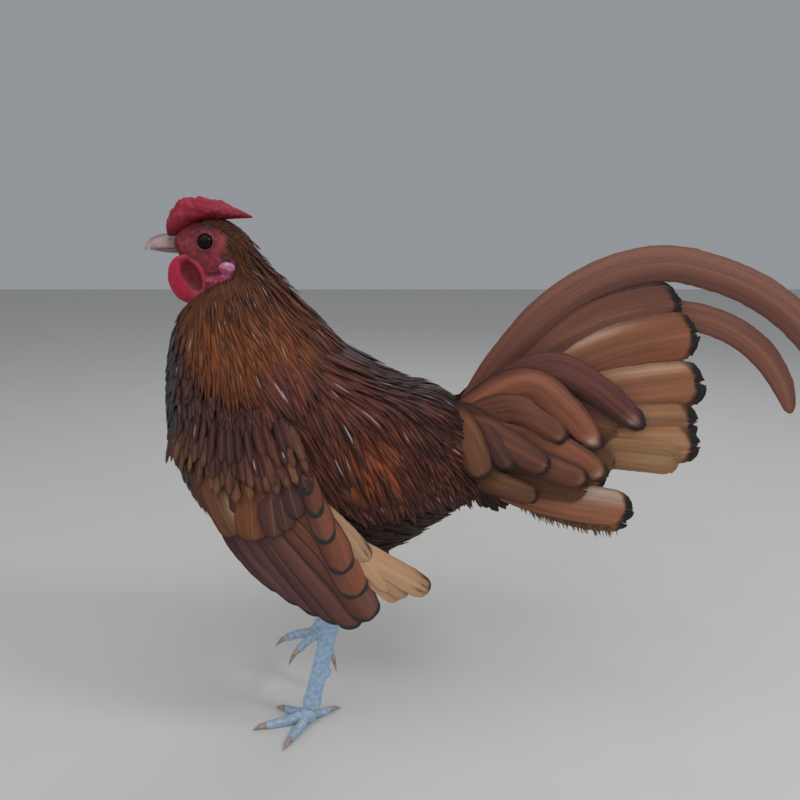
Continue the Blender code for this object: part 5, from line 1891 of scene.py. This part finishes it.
@dataclass
class Wing:
    """A folded wing: shoulder feathers, tongue-shaped and large coverts, secondaries and primaries.

    Args:
        side: the bird's side.
        secondaries: tip, half width, slope of the end in degrees and colour, from the top one down.
        secondary_roots: where the first and the last of them start.
        primaries: bend, tip and half width of the buff quills, from the top one down.
        primary_root: where the first of them starts.
        greater: root, tip, half width, colour and marks of the large coverts, from the front.
        under: number of the covert that only fills the gap below its neighbours.
        tongue_tips: heights of the tongue coverts' tips along the wing.
        tongue_tints: two colours for each row of them, from the lowest up.
        stations: points along a quill.
    """

    side: Side
    secondaries: tuple = (((12.4, 145.0), 3.5, -82, "#663C34"), ((16.2, 134.2), 4.7, -78, "#703E32"),
                          ((20.9, 121.5), 5.9, -74, "#744030"), ((28.0, 106.2), 7.2, -72, "#784430"),
                          ((34.0, 93.4), 8.1, -69, "#744232"), ((40.4, 80.4), 8.4, -62, "#6C3E30"),
                          ((34.0, 76.2), 7.8, -55, "#643C36"), ((27.0, 79.2), 7.4, -52, "#603C3A"),
                          ((18.6, 83.8), 7.2, -50, "#643E3C"), ((10.2, 89.8), 7.0, -48, "#5E3C3A"),
                          ((2.0, 96.2), 6.8, -47, "#583838"))
    secondary_roots: tuple = ((2.0, 168.0), (-29.0, 131.0))
    primaries: tuple = (((26.5, 128.0), (39.6, 112.0), 5.0), ((33.5, 117.5), (50.0, 96.0), 5.8),
                        ((40.5, 110.0), (57.2, 92.4), 5.8), ((47.4, 108.2), (67.8, 95.0), 6.4),
                        ((41.0, 102.0), (53.5, 90.2), 5.0))
    primary_root: tuple = (4.0, 150.0)
    greater: tuple = (((-45.0, 160.0), (-33.5, 136.5), 5.0, "#52301F", ()),
                      ((-37.0, 157.0), (-22.0, 125.0), 6.4, "#643C28",
                       (Mark(0.85, 0.66, 0.5, 0.24, "#CBA078", 1.0),)),
                      ((-11.5, 160.0), (-13.2, 123.4), 8.2, "#683A20",
                       (Mark(0.95, 0.6, 0.26, 0.16, "#C0936A", 0.95),
                        Mark(0.0, 0.8, 0.5, 0.2, "#74401F", 0.5))),
                      ((-3.5, 160.0), (-3.0, 125.4), 6.4, "#52302A", ()),
                      ((-1.0, 161.0), (2.6, 128.6), 5.6, "#4E2E2C", ()),
                      ((2.6, 163.0), (7.6, 134.4), 5.2, "#482A2A", ()),
                      ((8.0, 166.0), (11.8, 148.5), 4.2, "#462828", ()),
                      ((-21.5, 158.0), (-19.5, 127.0), 3.8, "#54301F", ()))
    under: int = 7
    tongue_tips: tuple = ((-46.0, -31.0, -24.0, -12.0, 0.0, 10.0, 17.0),
                          (154.0, 148.0, 144.0, 145.0, 148.0, 154.5, 160.0))
    tongue_tints: tuple = (("#5A3424", "#7C5036"), ("#48261E", "#6E4430"), ("#381A18", "#5A2C22"),
                           ("#341618", "#4C2420"))
    stations: int = 30

    def quills(self, rng: np.random.Generator, sheet: WingSheet) -> None:
        """Builds secondaries and primaries.

        Args:
            rng: the seeded random source.
            sheet: the wing's outer face.
        """
        first, last = np.array(self.secondary_roots)
        laid = []
        for number, (tip, half, slope, colour) in enumerate(self.secondaries):
            share = number / (len(self.secondaries) - 1)
            root = first + (last - first) * share
            way = np.array((math.cos(math.radians(slope)), math.sin(math.radians(slope))))
            bend = (np.array(tip) - way * (18 + 14 * share)) * 0.85 + (root + np.array(tip)) / 2 * 0.15
            level = 4.4 - 0.2 * number
            # Painted light and shade across each quill: lighter on its upper half, darker along its lower
            # edge.
            marks = (Mark(0.5, 0.7, 0.4, 0.35, "#7C5C58" if number > 4 else "#8A5238", 0.45),
                     Mark(-1.0, 0.6, 0.45, 0.6, "#3E2424", 0.6))
            laid.append(Quill((tuple(root), tuple(bend), tip), half, (level - 1.6, level), colour, marks,
                              7.0))
        Coat("secondaries_" + self.side.word, SECONDARY, "wing_feathers", columns=12, thick=0.45, camber=0.08,
             ragged=0.03, fray=0.3, seed=5).build(lay_quills(laid, self.side, sheet, self.stations, rng),
                                                  ("wing_" + self.side.word,))
        laid = []
        for number, (bend, tip, half) in enumerate(self.primaries):
            root = tuple(np.array(self.primary_root) + np.array((-1.5, -4.0)) * number)
            level = 1.5 - 0.3 * number
            marks = (Mark(0.2, 0.9, 0.5, 0.1, "#A87C5C", 0.35), Mark(0.9, 0.84, 0.2, 0.12, "#140E10", 1.0),
                     Mark(0.25, 0.87, 0.1, 0.08, "#241812", 1.0))
            if number == 3:
                marks += (Mark(0.7, 0.97, 1.1, 0.05, "#18161A", 1.0),
                          Mark(-0.3, 0.86, 0.1, 0.08, "#241812", 1.0))
            laid.append(Quill((root, bend, tip), half, (level, level), "#BC9270", marks, 6.0))
        Coat("primaries_" + self.side.word, PRIMARY, "wing_feathers", columns=24, thick=0.4, camber=0.08,
             ragged=0.04, fray=0.4, seed=6).build(lay_quills(laid, self.side, sheet, self.stations, rng), ())

    def coverts(self, rng: np.random.Generator, sheet: WingSheet) -> None:
        """Builds the large coverts.

        Args:
            rng: the seeded random source.
            sheet: the wing's outer face.
        """
        laid = []
        for number, (root, tip, half, colour, marks) in enumerate(self.greater):
            bend = ((root[0] + tip[0]) / 2 - 1.2, (root[1] + tip[1]) / 2)
            level = 6.6 - 0.28 * number - 1.6 * (number == self.under)
            laid.append(Quill((root, bend, tip), half, (level - 3.2, level), colour, marks, 6.0,
                              Outline.ROUND if number < 3 or number == self.under else Outline.SCALLOP))
        Coat("coverts_" + self.side.word, COVERT, "wing_feathers", columns=10, thick=0.45, camber=0.12,
             ragged=0.04, fray=0.3, seed=9).build(lay_quills(laid, self.side, sheet, 20, rng), ())

    @staticmethod
    def down(p: np.ndarray, a: np.ndarray, b: np.ndarray, along: np.ndarray,
             around: np.ndarray) -> np.ndarray:
        """Downwards, and more backwards towards the rear."""
        slope = np.radians(np.interp(a, (-50.0, -20.0, 18.0), (-88.0, -80.0, -62.0)))
        return np.stack((np.cos(slope), np.zeros_like(slope), np.sin(slope)), -1)

    def tongues(self, rng: np.random.Generator, sheet: WingSheet) -> None:
        """Builds the tongue-shaped coverts over the large ones.

        Args:
            rng: the seeded random source.
            sheet: the wing's outer face.
        """
        groups = []
        for row, (low, high) in enumerate(self.tongue_tints):
            x = np.arange(-47.0 + 2.3 * (row % 2), 14.5 - 1.5 * row, 4.3)
            x = x + rng.uniform(-0.9, 0.9, len(x))
            length = rng.uniform(13.0, 16.0, len(x))
            tip = np.interp(x, *self.tongue_tips) + 4.8 * row + rng.uniform(-2.6, 2.2, len(x))
            way = self.down(x, x, tip, x, x)
            groups.append(grow(sheet, x - way[:, 0] * length, tip - way[:, 2] * length, self.down, length,
                               rng.uniform(1.9, 3.0, len(x)), Outline.SCALLOP, (4.2, 7.0 - 0.4 * row),
                               mix(low, high, rng.uniform(0, 1, len(x))), rng, stations=9, roll=12.0))
        Coat("tongue_coverts_" + self.side.word, BOW, "wing_feathers", columns=6, camber=0.14, ragged=0.2,
             seed=12).build(Plumes.together(groups), ())

    def bow(self, rng: np.random.Generator, sheet: WingSheet) -> None:
        """Builds the small shoulder feathers, in rows that grow larger downwards.

        Args:
            rng: the seeded random source.
            sheet: the wing's outer face.
        """
        xs, zs = [], []
        z, row = 188.0, 0
        while z > 158.0:
            gap = 3.2 + 0.8 * (188.0 - z) / 30.0
            line = np.arange(-60.0 + 0.5 * gap * (row % 2), 26.0, gap)
            xs.append(line + rng.uniform(-0.28, 0.28, len(line)) * gap)
            zs.append(np.full(len(line), z) + rng.uniform(-0.25, 0.25, len(line)) * gap)
            z -= gap * 0.8
            row += 1
        x, z = np.concatenate(xs), np.concatenate(zs)
        rear = np.interp(z, (150.0, 160.0, 172.0, 188.0), (18.0, 14.5, 7.0, 0.0))
        front = np.interp(z, (150.0, 165.0, 188.0), (-53.0, -56.0, -56.0))
        inside = (x < rear) & (x > front) & (z > np.interp(x, (-50.0, -20.0, 8.0, 20.0),
                                                           (164.0, 161.0, 166.0, 172.0)))
        x, z = x[inside], z[inside]
        size = ease(z, 188.0, 160.0)
        flat = np.stack((x, np.zeros_like(x), z), -1)
        patchy = 0.5 * rough_noise(flat, 7.0) + rng.uniform(-0.3, 0.3, len(x))
        tint = mix("#301416", "#542420", 0.4 + patchy)
        tint = over(tint, "#704838", 0.6 * rng.uniform(0, 1, len(x)) ** 3)
        top = np.interp(z, (158.0, 172.0, 188.0), (6.6, 4.6, 1.6))
        plumes = grow(sheet, x, z, self.down, 11.0 + 3.5 * size,
                      (1.8 + 0.9 * size) * rng.uniform(0.8, 1.15, len(x)),
                      Outline.SCALLOP, (top - 2.6, top - 0.2), tint, rng, stations=9, roll=12.0)
        Coat("shoulder_" + self.side.word, BOW, "wing_feathers", ragged=0.35,
             ragged_from=0.3).build(plumes, ())

    def build(self) -> None:
        """Builds the wing."""
        rng = np.random.default_rng(SEEDS["wing_" + self.side.word])
        sheet = WingSheet(side=self.side)
        self.quills(rng, sheet)
        self.coverts(rng, sheet)
        self.tongues(rng, sheet)
        self.bow(rng, sheet)


@dataclass
class Tail:
    """One half of the tail: fan quills, coverts over them, a long sickle and the dark root.

    Args:
        side: the bird's side.
        core: middle and half sizes of the tail's root.
        fan: the fan's quills from the top one down.
        fillers: darker quills between them; the top one lies just under the sickle, and its dark brown is
            painted shadow of the sickle.
        coverts: the coverts over the fan.
        left_sickle: path of the longer sickle.
        right_sickle: path of the shorter one.
        sickle_half: half width of the two.
        root_count: number of short feathers over the root.
        barb_count: number of loose barbs.
    """

    side: Side
    core: tuple = ((93.0, 0.0, 157.0), (20.0, 11.0, 24.0))
    fan: tuple = (
        Quill(((99, 174), (145, 216), (191, 228)), 10.5, (2.8, 5.0), "#6A4032", outline=Outline.BLUNT),
        Quill(((101, 169), (150, 202), (199, 214)), 12.3, (3.5, 9.0), "#7E4C34",
              (Mark(0.85, 0.52, 0.22, 0.14, "#BC9A82", 0.85), Mark(-0.2, 0.7, 0.5, 0.2, "#6A3A28", 0.6)),
              outline=Outline.BLUNT),
        Quill(((102, 163), (150, 182), (202, 190.5)), 12.3, (4.3, 13.5), "#86563C",
              (Mark(0.8, 0.75, 0.22, 0.2, "#C09A7C", 0.85), Mark(0.1, 0.5, 0.4, 0.3, "#6E4430", 0.5)),
              outline=Outline.BLUNT),
        Quill(((102, 158), (150, 167.5), (199, 171)), 10.5, (5.0, 17.0), "#8E5E40",
              (Mark(0.5, 0.7, 0.35, 0.25, "#B08A68", 0.5), Mark(0.0, 0.5, 0.6, 0.15, "#6E5038", 0.5)),
              outline=Outline.BLUNT),
        Quill(((101, 154), (150, 158.5), (199.5, 161)), 9.5, (5.8, 20.5), "#9A6A48",
              (Mark(0.3, 0.8, 0.4, 0.16, "#B8946E", 0.5),), outline=Outline.BLUNT),
        Quill(((100, 150), (150, 155.5), (189.5, 154)), 8.0, (6.5, 23.5), "#986E4A",
              (Mark(0.1, 0.85, 0.5, 0.14, "#B89870", 0.6),), outline=Outline.BLUNT, laced=False),
        Quill(((93, 140), (128, 132.5), (168.5, 129)), 10.0, (7.2, 24.0), "#A0684A",
              (Mark(0.65, 0.66, 0.45, 0.34, "#CDB8A4", 0.9), Mark(-0.8, 0.6, 0.3, 0.3, "#7A4630", 0.5)), 3.0,
              Outline.ROUND))
    # The top filler is a real quill whose dark brown is painted shadow under the sickle.
    fillers: tuple = (Quill(((96, 177), (134, 216), (189, 232.5)), 8.5, (1.6, 2.4), "#50302A",
                            outline=Outline.BLUNT),
                      Quill(((97, 175), (140, 206), (186, 221)), 9.0, (2.9, 6.0), "#643C30",
                            outline=Outline.BLUNT,
                            laced=False),
                      Quill(((94, 166), (124, 172), (160, 168)), 12.0, (5.0, 17.0), "#5E3828", laced=False),
                      Quill(((94, 156), (124, 156), (158, 150)), 11.0, (6.0, 22.0), "#64402C", laced=False),
                      Quill(((92, 148), (116, 143), (146, 139)), 9.0, (6.5, 22.0), "#5A3624", laced=False),
                      Quill(((98, 138), (134, 124.5), (166, 121.5)), 5.6, (7.0, 23.0), "#7A503A"))
    coverts: tuple = tuple(
        Quill(path, half, out, colour,
              # The first two marks are painted shade along the lower side and painted light along the upper;
              # the third is a real pale spot before the tip.
              (Mark(-1.0, 0.5, 0.5, 0.5, "#42221A", 0.7), Mark(0.5, 0.45, 0.4, 0.3, light, 0.6),
               Mark(-0.2, 0.92, 0.45, 0.035, pale, 0.85)),
              4.0, Outline.ROUND if path[0][1] > 175 else Outline.COVERT)
        for path, half, out, colour, light, pale in (
            (((86, 172), (128, 197), (172.5, 169)), 7.4, (6.5, 19.0), "#623230", "#7A4A40", "#B89890"),
            (((84, 170), (118, 189), (151, 159.5)), 7.2, (7.0, 22.5), "#7A4430", "#94604A", "#C0A090"),
            (((84, 168), (110, 177.5), (134.5, 163.5)), 6.6, (7.5, 21.5), "#643828", "#7C4C3A", "#8E6454"),
            (((84, 162), (122, 161.5), (153.5, 146.5)), 7.4, (9.5, 26.0), "#74422E", "#8E5A40", "#B8947C"),
            (((84, 157), (115, 153), (145, 144.5)), 6.8, (10.0, 26.8), "#6A3E2E", "#845440", "#9A7460"),
            (((84, 168), (104, 162), (126, 150)), 7.0, (11.0, 25.6), "#603628", "#744636", "#805A4A"),
            (((84, 147), (102, 140.5), (121.5, 136)), 5.8, (10.0, 25.5), "#62402A", "#84603E", "#7A5A3E"),
            (((80, 178), (95, 168), (108, 149)), 6.4, (6.5, 23.0), "#4E2A22", "#664030", "#64443A"),
            (((76, 172.5), (85, 165), (95, 145)), 7.6, (9.0, 24.5), "#5A3420", "#80502C", "#5E3C2E")))
    left_sickle: tuple = ((86.0, 176.0), (104.0, 200.0), (127.0, 224.0), (152.0, 240.0), (180.0, 246.5),
                          (207.0, 241.5), (233.0, 230.0), (256.0, 211.0), (273.0, 186.0), (284.0, 154.0))
    right_sickle: tuple = ((88.0, 172.0), (108.0, 190.0), (134.0, 208.0), (164.0, 220.0), (192.0, 221.5),
                           (215.0, 215.5), (233.0, 204.0), (246.0, 188.0), (253.5, 171.0))
    sickle_half: tuple = (8.8, 7.2)
    root_count: int = 190
    barb_count: int = 110

    def build(self) -> None:
        """Builds this half."""
        word = self.side.word
        rng = np.random.default_rng(SEEDS["tail_" + word])
        plumes = lay_quills(self.fan + self.fillers, self.side, None, 56, rng)
        Coat("tail_fan_" + word, TAIL, "tail_feathers", columns=16, thick=0.5, camber=0.06, ragged=0.08,
             ragged_from=0.9, fray=3.4, seed=3).build(plumes, ("tail_" + word,))
        plumes = lay_quills(self.coverts, self.side, None, 34, rng)
        Coat("tail_coverts_" + word, TAIL_COVERT, "tail_feathers", columns=12, thick=0.45, camber=0.05,
             ragged=0.1, fray=1.4, seed=4).build(plumes, ())
        path, half = ((self.left_sickle, self.sickle_half[0]) if self.side is Side.LEFT
                      else (self.right_sickle, self.sickle_half[1]))
        # The first two marks are painted light and shade: lighter along the upper edge, darker over the lower
        # half.
        marks = (Mark(0.8, 0.5, 0.4, 0.4, "#96685A", 0.6), Mark(-0.8, 0.5, 0.5, 0.5, "#5E3A30", 0.7),
                 Mark(0.0, 0.1, 0.9, 0.16, "#5E3628", 0.7))
        sickle = Quill(path, half, (2.2, 3.2), "#7C4E40", marks, 0.0, Outline.SICKLE)
        Coat("sickle_" + word, SICKLE, "tail_feathers", columns=14, thick=0.55, camber=0.1, ragged=0.03,
             seed=8).build(lay_quills([sickle], self.side, None, 100, rng), ())
        self.stern(rng)
        self.barbs(rng)

    def stern(self, rng: np.random.Generator) -> None:
        """Builds the short dark feathers that cover the root of the tail.

        Args:
            rng: the seeded random source.
        """
        count = self.root_count
        share, turn = rng.uniform(0.08, 0.95, count), rng.uniform(0, math.pi, count)
        centre, radii = (np.array(part) for part in self.core)
        polar = math.pi * share
        ball = np.stack((-np.sin(polar) * np.cos(turn), self.side.value * np.sin(polar) * np.sin(turn),
                         np.cos(polar)), -1)
        start = centre + ball * radii * 0.92
        way = unit(np.stack((np.full(count, 1.0), self.side.value * 0.14 * np.ones(count),
                             -0.6 + 0.4 * ball[:, 2] + rng.uniform(-0.15, 0.15, count)), -1))
        v = np.linspace(0, 1, 8)
        line = straight(start, way, v, rng.uniform(12.0, 20.0, count))
        line[..., 1] += self.side.value * (0.4 + 1.2 * v)
        up = np.tile((0.1, float(self.side.value), 0.25), (count, 8, 1))
        half = rng.uniform(2.0, 3.0, (count, 1)) * np.interp(v, *Outline.SCALLOP.value)[None]
        patch = np.stack((0.1 + 0.8 * turn / math.pi, 0.1 + 0.8 * share), -1)
        tint = mix("#171412", "#42261C", rng.uniform(0, 1, count) ** 1.8)
        plumes = Plumes(line, up, half, tint, patch, rng.uniform(0, 1, count))
        Coat("tail_root_" + self.side.word, BOW, "tail_feathers", ragged=0.3).build(plumes, ())

    def barbs(self, rng: np.random.Generator) -> None:
        """Builds the loose barbs that hang from the lowest quill's edge.

        Args:
            rng: the seeded random source.
        """
        count = self.barb_count
        x = np.sort(rng.uniform(114.0, 160.0, count))
        edge = np.interp(x, (112.0, 128.0, 150.0, 164.0), (127.5, 121.6, 118.0, 118.0))
        out = np.interp(x, (93.0, 168.0), (7.2, 24.0)) + rng.uniform(-0.4, 0.6, count)
        start = np.stack((x, self.side.value * out, edge + 1.5), -1)
        way = unit(np.stack((rng.uniform(0.1, 0.5, count), np.zeros(count), np.full(count, -1.0)), -1))
        v = np.linspace(0, 1, 6)
        line = straight(start, way, v, rng.uniform(3.0, 7.0, count))
        up = np.tile((0.0, float(self.side.value), 0.0), (count, 6, 1))
        half = 0.26 * np.interp(v, *Outline.TUFT.value)[None] * rng.uniform(0.7, 1.3, (count, 1))
        patch = np.stack((0.05 + 0.9 * (x - 112) / 52, 0.3 + 0.4 * rng.uniform(0, 1, count)), -1)
        plumes = Plumes(line, up, half, mix("#8A5C40", "#B88A64", rng.uniform(0, 1, count)), patch,
                        rng.uniform(0, 1, count))
        Coat("tail_barbs_" + self.side.word, FLUFF, "tail_feathers", columns=2, thick=0.2).build(plumes, ())


@dataclass
class Leg:
    """A scaled shank with four toes and their claws.

    Args:
        side: the bird's side.
        hock: top of the shank.
        ankle: its lower end.
        standing: whether the foot is flat on the floor.
        radius: radius of the shank.
        scutes: number of plates down its front.
        toes: name, direction in degrees, length and radius at both ends of each toe.
        droop: slope of each toe of a raised foot, in degrees.
        claw: length of a claw.
        sunk: how far the shank runs down into the foot.
        spur: place of the spur's bump along the shank, its length as a share and its height.
        pad: half sizes of the ball of the foot.
        pad_at: how far that ball is in front of the ankle and over the floor on a standing foot, and
            below the ankle on a lifted one.
    """

    side: Side
    hock: tuple
    ankle: tuple
    standing: bool
    radius: float = 3.9
    scutes: int = 13
    toes: tuple = (("inner", 148.0, 16.0, 2.7, 1.9), ("middle", 195.0, 23.0, 2.9, 2.0),
                   ("outer", 246.0, 19.0, 2.7, 1.9), ("hind", 36.0, 13.0, 2.4, 1.8))
    droop: tuple = (-22.0, -16.0, -22.0, -55.0)
    claw: float = 8.0
    sunk: float = 4.6
    spur: tuple = (0.6, 0.035, 1.9)
    pad: tuple = (4.7, 4.5, 5.1)
    pad_at: tuple = (1.8, 5.0, 4.5)

    @property
    def ball(self) -> np.ndarray:
        """Middle of the ball of the foot."""
        forward, height, below = self.pad_at
        if self.standing:
            return np.array((self.ankle[0] - forward, self.ankle[1], height))
        return np.array((self.ankle[0], self.ankle[1], self.ankle[2] - below))

    def shank(self) -> bmesh.types.BMesh:
        """The shank, with overlapping scutes down its front and a spur bump behind.

        Returns:
            The bmesh, in millimetres.
        """
        hock, ankle = np.array(self.hock), np.array(self.ankle)
        way = unit(ankle - hock)
        front = unit(np.array((-1.0, 0.0, 0.0)) + way * way[0])
        side = np.cross(way, front)
        length = float(np.linalg.norm(ankle - hock)) + self.sunk

        def place(s: np.ndarray, t: np.ndarray) -> np.ndarray:
            """Points of the shank.

            Args:
                s: places along it.
                t: places round it.

            Returns:
                Points in millimetres.
            """
            turn = TURN * t
            swell = 1.0 + 0.42 * np.exp(-(s / 0.09) ** 2) + 0.14 * np.exp(-((s - 0.93) / 0.1) ** 2)
            swell -= 0.34 * ease(s, 0.93, 1.0)
            phase = np.mod(s * self.scutes + 0.12 * np.cos(2 * turn), 1.0)
            saw = np.where(phase < 0.82, phase / 0.82, (1 - phase) / 0.18)
            facing, behind = ease(np.cos(turn), -0.15, 0.35), ease(-np.cos(turn), 0.1, 0.5)
            fine = np.mod(s * self.scutes * 1.6 + 0.5 * (np.sin(turn) > 0), 1.0)
            raised = 0.45 * saw * facing + 0.22 * np.sin(math.pi * fine) * behind
            groove = -0.35 * np.exp(-((np.cos(turn) + 0.02) / 0.12) ** 2)
            at, reach, height = self.spur
            bump = height * np.exp(-((s - at) / reach) ** 2) * ease(-np.cos(turn), 0.55, 1.0)
            r = self.radius * swell + raised + groove + bump
            return (hock + way * (s * length)[:, None] + front * (np.cos(turn) * r * 1.06)[:, None]
                    + side * (np.sin(turn) * r * 0.92)[:, None])
        return loft(place, 56, self.scutes * 12)

    def toe_line(self, heading: float, length: float, droop: float) -> np.ndarray:
        """Points from the ball of the foot to the claw.

        Args:
            heading: the toe's direction in degrees.
            length: its length.
            droop: its slope on a raised foot, in degrees.

        Returns:
            Four points in millimetres.
        """
        way = np.array((math.cos(math.radians(heading)), math.sin(math.radians(heading)), 0.0))
        spots = np.array((0.02, 0.35, 0.7, 1.0))
        if self.standing:
            base = np.array((self.ankle[0] - self.pad_at[0], self.ankle[1], 0.0))
            heights = np.array((5.0, 3.4, 2.2, 1.9))
            return base + way * (length * spots)[:, None] + UP * heights[:, None]
        slope = math.radians(droop)
        way = way * math.cos(slope) + np.array((0.0, 0.0, math.sin(slope)))
        base = np.array(self.ankle) - UP * self.pad_at[2]
        bow = np.array((0.0, 0.0, 1.6))[None] * np.sin(math.pi * spots)[:, None]
        return base + way * (length * spots)[:, None] + bow

    def toe(self, line: np.ndarray, thick: float, thin: float, plates: int) -> bmesh.types.BMesh:
        """One toe, ringed with scutes above and padded below.

        Args:
            line: its points.
            thick: radius at the foot.
            thin: radius at the claw.
            plates: number of scutes.

        Returns:
            The bmesh, in millimetres.
        """
        last = len(line) - 1

        def place(s: np.ndarray, t: np.ndarray) -> np.ndarray:
            """Points of the toe.

            Args:
                s: places along it.
                t: places round it.

            Returns:
                Points in millimetres.
            """
            centre, up, side = frame_along(line, s * last, 0.03)
            turn = TURN * t
            phase = np.mod(s * plates, 1.0)
            saw = np.where(phase < 0.8, phase / 0.8, (1 - phase) / 0.2) * ease(np.cos(turn), -0.1, 0.4)
            pads = 0.28 * np.abs(np.sin(math.pi * 3 * s)) * ease(-np.cos(turn), 0.2, 0.8)
            round_end = np.sqrt(np.clip(1 - ease(s, 0.93, 1.06) ** 2, 0.05, 1))
            r = (thick + (thin - thick) * s) * round_end + 0.28 * saw + pads
            return centre + up * (np.cos(turn) * r)[:, None] + side * (np.sin(turn) * r)[:, None]
        return loft(place, 28, plates * 8)

    def paint(self, p: np.ndarray) -> np.ndarray:
        """Blue on the shank, greyer on the foot, in paler and darker scales.

        Args:
            p: points in millimetres.

        Returns:
            Linear colours.
        """
        low = self.ball[2]
        colours = mix("#94A6BC", "#8CB0D2", ease(p[:, 2], low - 3.0, low + 16.0))
        return over(colours, "#BCD0E4", 0.4 + 0.5 * rough_noise(p, 2.0))

    def build(self) -> None:
        """Builds shank, foot and claws."""
        word = self.side.word

        def pad(s: np.ndarray, t: np.ndarray) -> np.ndarray:
            """Points of the ball of the foot."""
            polar, turn = math.pi * s, TURN * t
            return self.ball + self.pad * np.stack((np.sin(polar) * np.cos(turn),
                                                    np.sin(polar) * np.sin(turn),
                                                    np.cos(polar)), -1)
        foot = loft(pad, 36, 24)
        claws = []
        for (toe_name, heading, length, thick, thin), droop in zip(self.toes, self.droop):
            line = self.toe_line(heading if self.standing else -heading, length, droop)
            join(foot, self.toe(line, thick, thin, max(5, round(length / 2.0))))
            way = unit(line[-1] - line[-2])
            down = np.array((0.0, 0.0, -1.0))
            sag = (0.1, 1.35) if self.standing else (0.9, 3.2)
            points = (line[-1] - way * 1.2, line[-1] + way * self.claw * 0.4 + down * sag[0] * 0.4,
                      line[-1] + way * self.claw * 0.95 + down * sag[1])
            horn = tube(points, (thin * 0.85, thin * 0.66, 0.14), 20, 16)
            claws.append(("claw_%s_%s" % (toe_name, word), horn))
        join(foot, self.shank())
        if self.standing:
            for bm in (foot, *(horn for _, horn in claws)):
                for vert in bm.verts:
                    vert.co.z = max(vert.co.z, 0.0)
        obj = finish_mesh("scaled_leg_" + word, foot, self.paint)
        settle(obj, LEG_SCALE.material(), "leg_scales", ("shank_" + word, "foot_" + word))
        for name, horn in claws:
            piece = finish_mesh(name + "_horn", horn,
                                lambda p: mix("#9A8480", "#B8A09A", 0.5 + rough_noise(p, 2.0)))
            settle(piece, CLAW_HORN.material(), "claw_horn", (name,))


@dataclass
class Studio:
    """Plain pale floor, soft lights and the camera at the photograph's place.

    Args:
        camera_at: the camera's place in millimetres.
        pitch: its tilt in degrees.
        lens: its focal length over a 36 mm sensor.
        floor_size: side of the floor in millimetres.
        sky: the world's colour.
        sky_strength: the world's strength.
        lamps: name, place in metres, size and power of each lamp.
    """

    camera_at: tuple = (53.94, -371.0, 263.0)
    pitch: float = 77.2
    lens: float = 33.975
    floor_size: float = 6000.0
    sky: str = "#C9CDD2"
    sky_strength: float = 0.5
    lamps: tuple = (("key", (-0.3, -0.85, 1.1), 2.2, 11.0), ("window", (0.62, -0.42, 0.86), 0.25, 2.6),
                    ("rim", (0.25, 0.8, 0.9), 0.6, 1.4))

    def build(self) -> None:
        """Builds floor, world, lights and camera."""
        bm = bmesh.new()
        bmesh.ops.create_grid(bm, x_segments=8, y_segments=8, size=self.floor_size / 2)
        floor = finish_mesh("studio_floor", bm, lambda p: np.tile(linear("#D4D3CF"), (len(p), 1)))
        floor.data.materials.append(CARD.material())
        world = bpy.data.worlds.new("studio_sky")
        world.use_nodes = True
        world.node_tree.nodes["Background"].inputs["Color"].default_value = (*linear(self.sky), 1.0)
        world.node_tree.nodes["Background"].inputs["Strength"].default_value = self.sky_strength
        bpy.context.scene.world = world
        target = Vector(((CAD_BOX[0][0] + CAD_BOX[1][0]) / 2, 0.0, 0.14))
        for name, place, size, power in self.lamps:
            lamp = bpy.data.lights.new(name, "AREA")
            lamp.shape = "DISK"
            lamp.size = size
            lamp.energy = power
            obj = bpy.data.objects.new(name, lamp)
            obj.location = Vector(place)
            obj.rotation_euler = (target - obj.location).to_track_quat("-Z", "Y").to_euler()
            bpy.context.scene.collection.objects.link(obj)
        view = bpy.data.cameras.new("camera")
        view.lens = self.lens
        view.sensor_width = 36.0
        camera = bpy.data.objects.new("camera", view)
        camera.location = Vector((np.array(self.camera_at) + SHIFT) * MM)
        camera.rotation_euler = (math.radians(self.pitch), 0.0, 0.0)
        bpy.context.scene.collection.objects.link(camera)
        bpy.context.scene.camera = camera
        bpy.context.scene.view_settings.view_transform = "Standard"


def main() -> None:
    """Builds every sub-assembly in order and reports it."""
    logging.basicConfig(level=logging.INFO, format="%(message)s")
    trunk = Trunk()
    left_leg = ((6.0, -19.0, 108.0), (19.0, -13.5, 73.0))
    right_leg = ((16.0, 20.0, 108.0), (41.2, 23.6, 88.0))
    thighs = (ThighSheet(line=left_leg), ThighSheet(line=right_leg))
    neck = NeckCoat(trunk)
    parts: list = [Studio(), Skin(trunk, thighs), Comb(), Bill()]
    parts += [piece(side) for side in Side for piece in (Eye, Wattle, Wing, Tail)]
    parts += [neck, BodyCoat(trunk, thighs, neck)]
    parts.append(Leg(Side.LEFT, (20.0, -13.0, 70.0), (6.0, -7.0, 11.5), True))
    parts.append(Leg(Side.RIGHT, (44.0, 24.0, 86.0), (9.0, 21.0, 41.5), False))
    for part in parts:
        part.build()
        LOG.info("built %s", type(part).__name__)


if __name__ == "__main__":
    main()
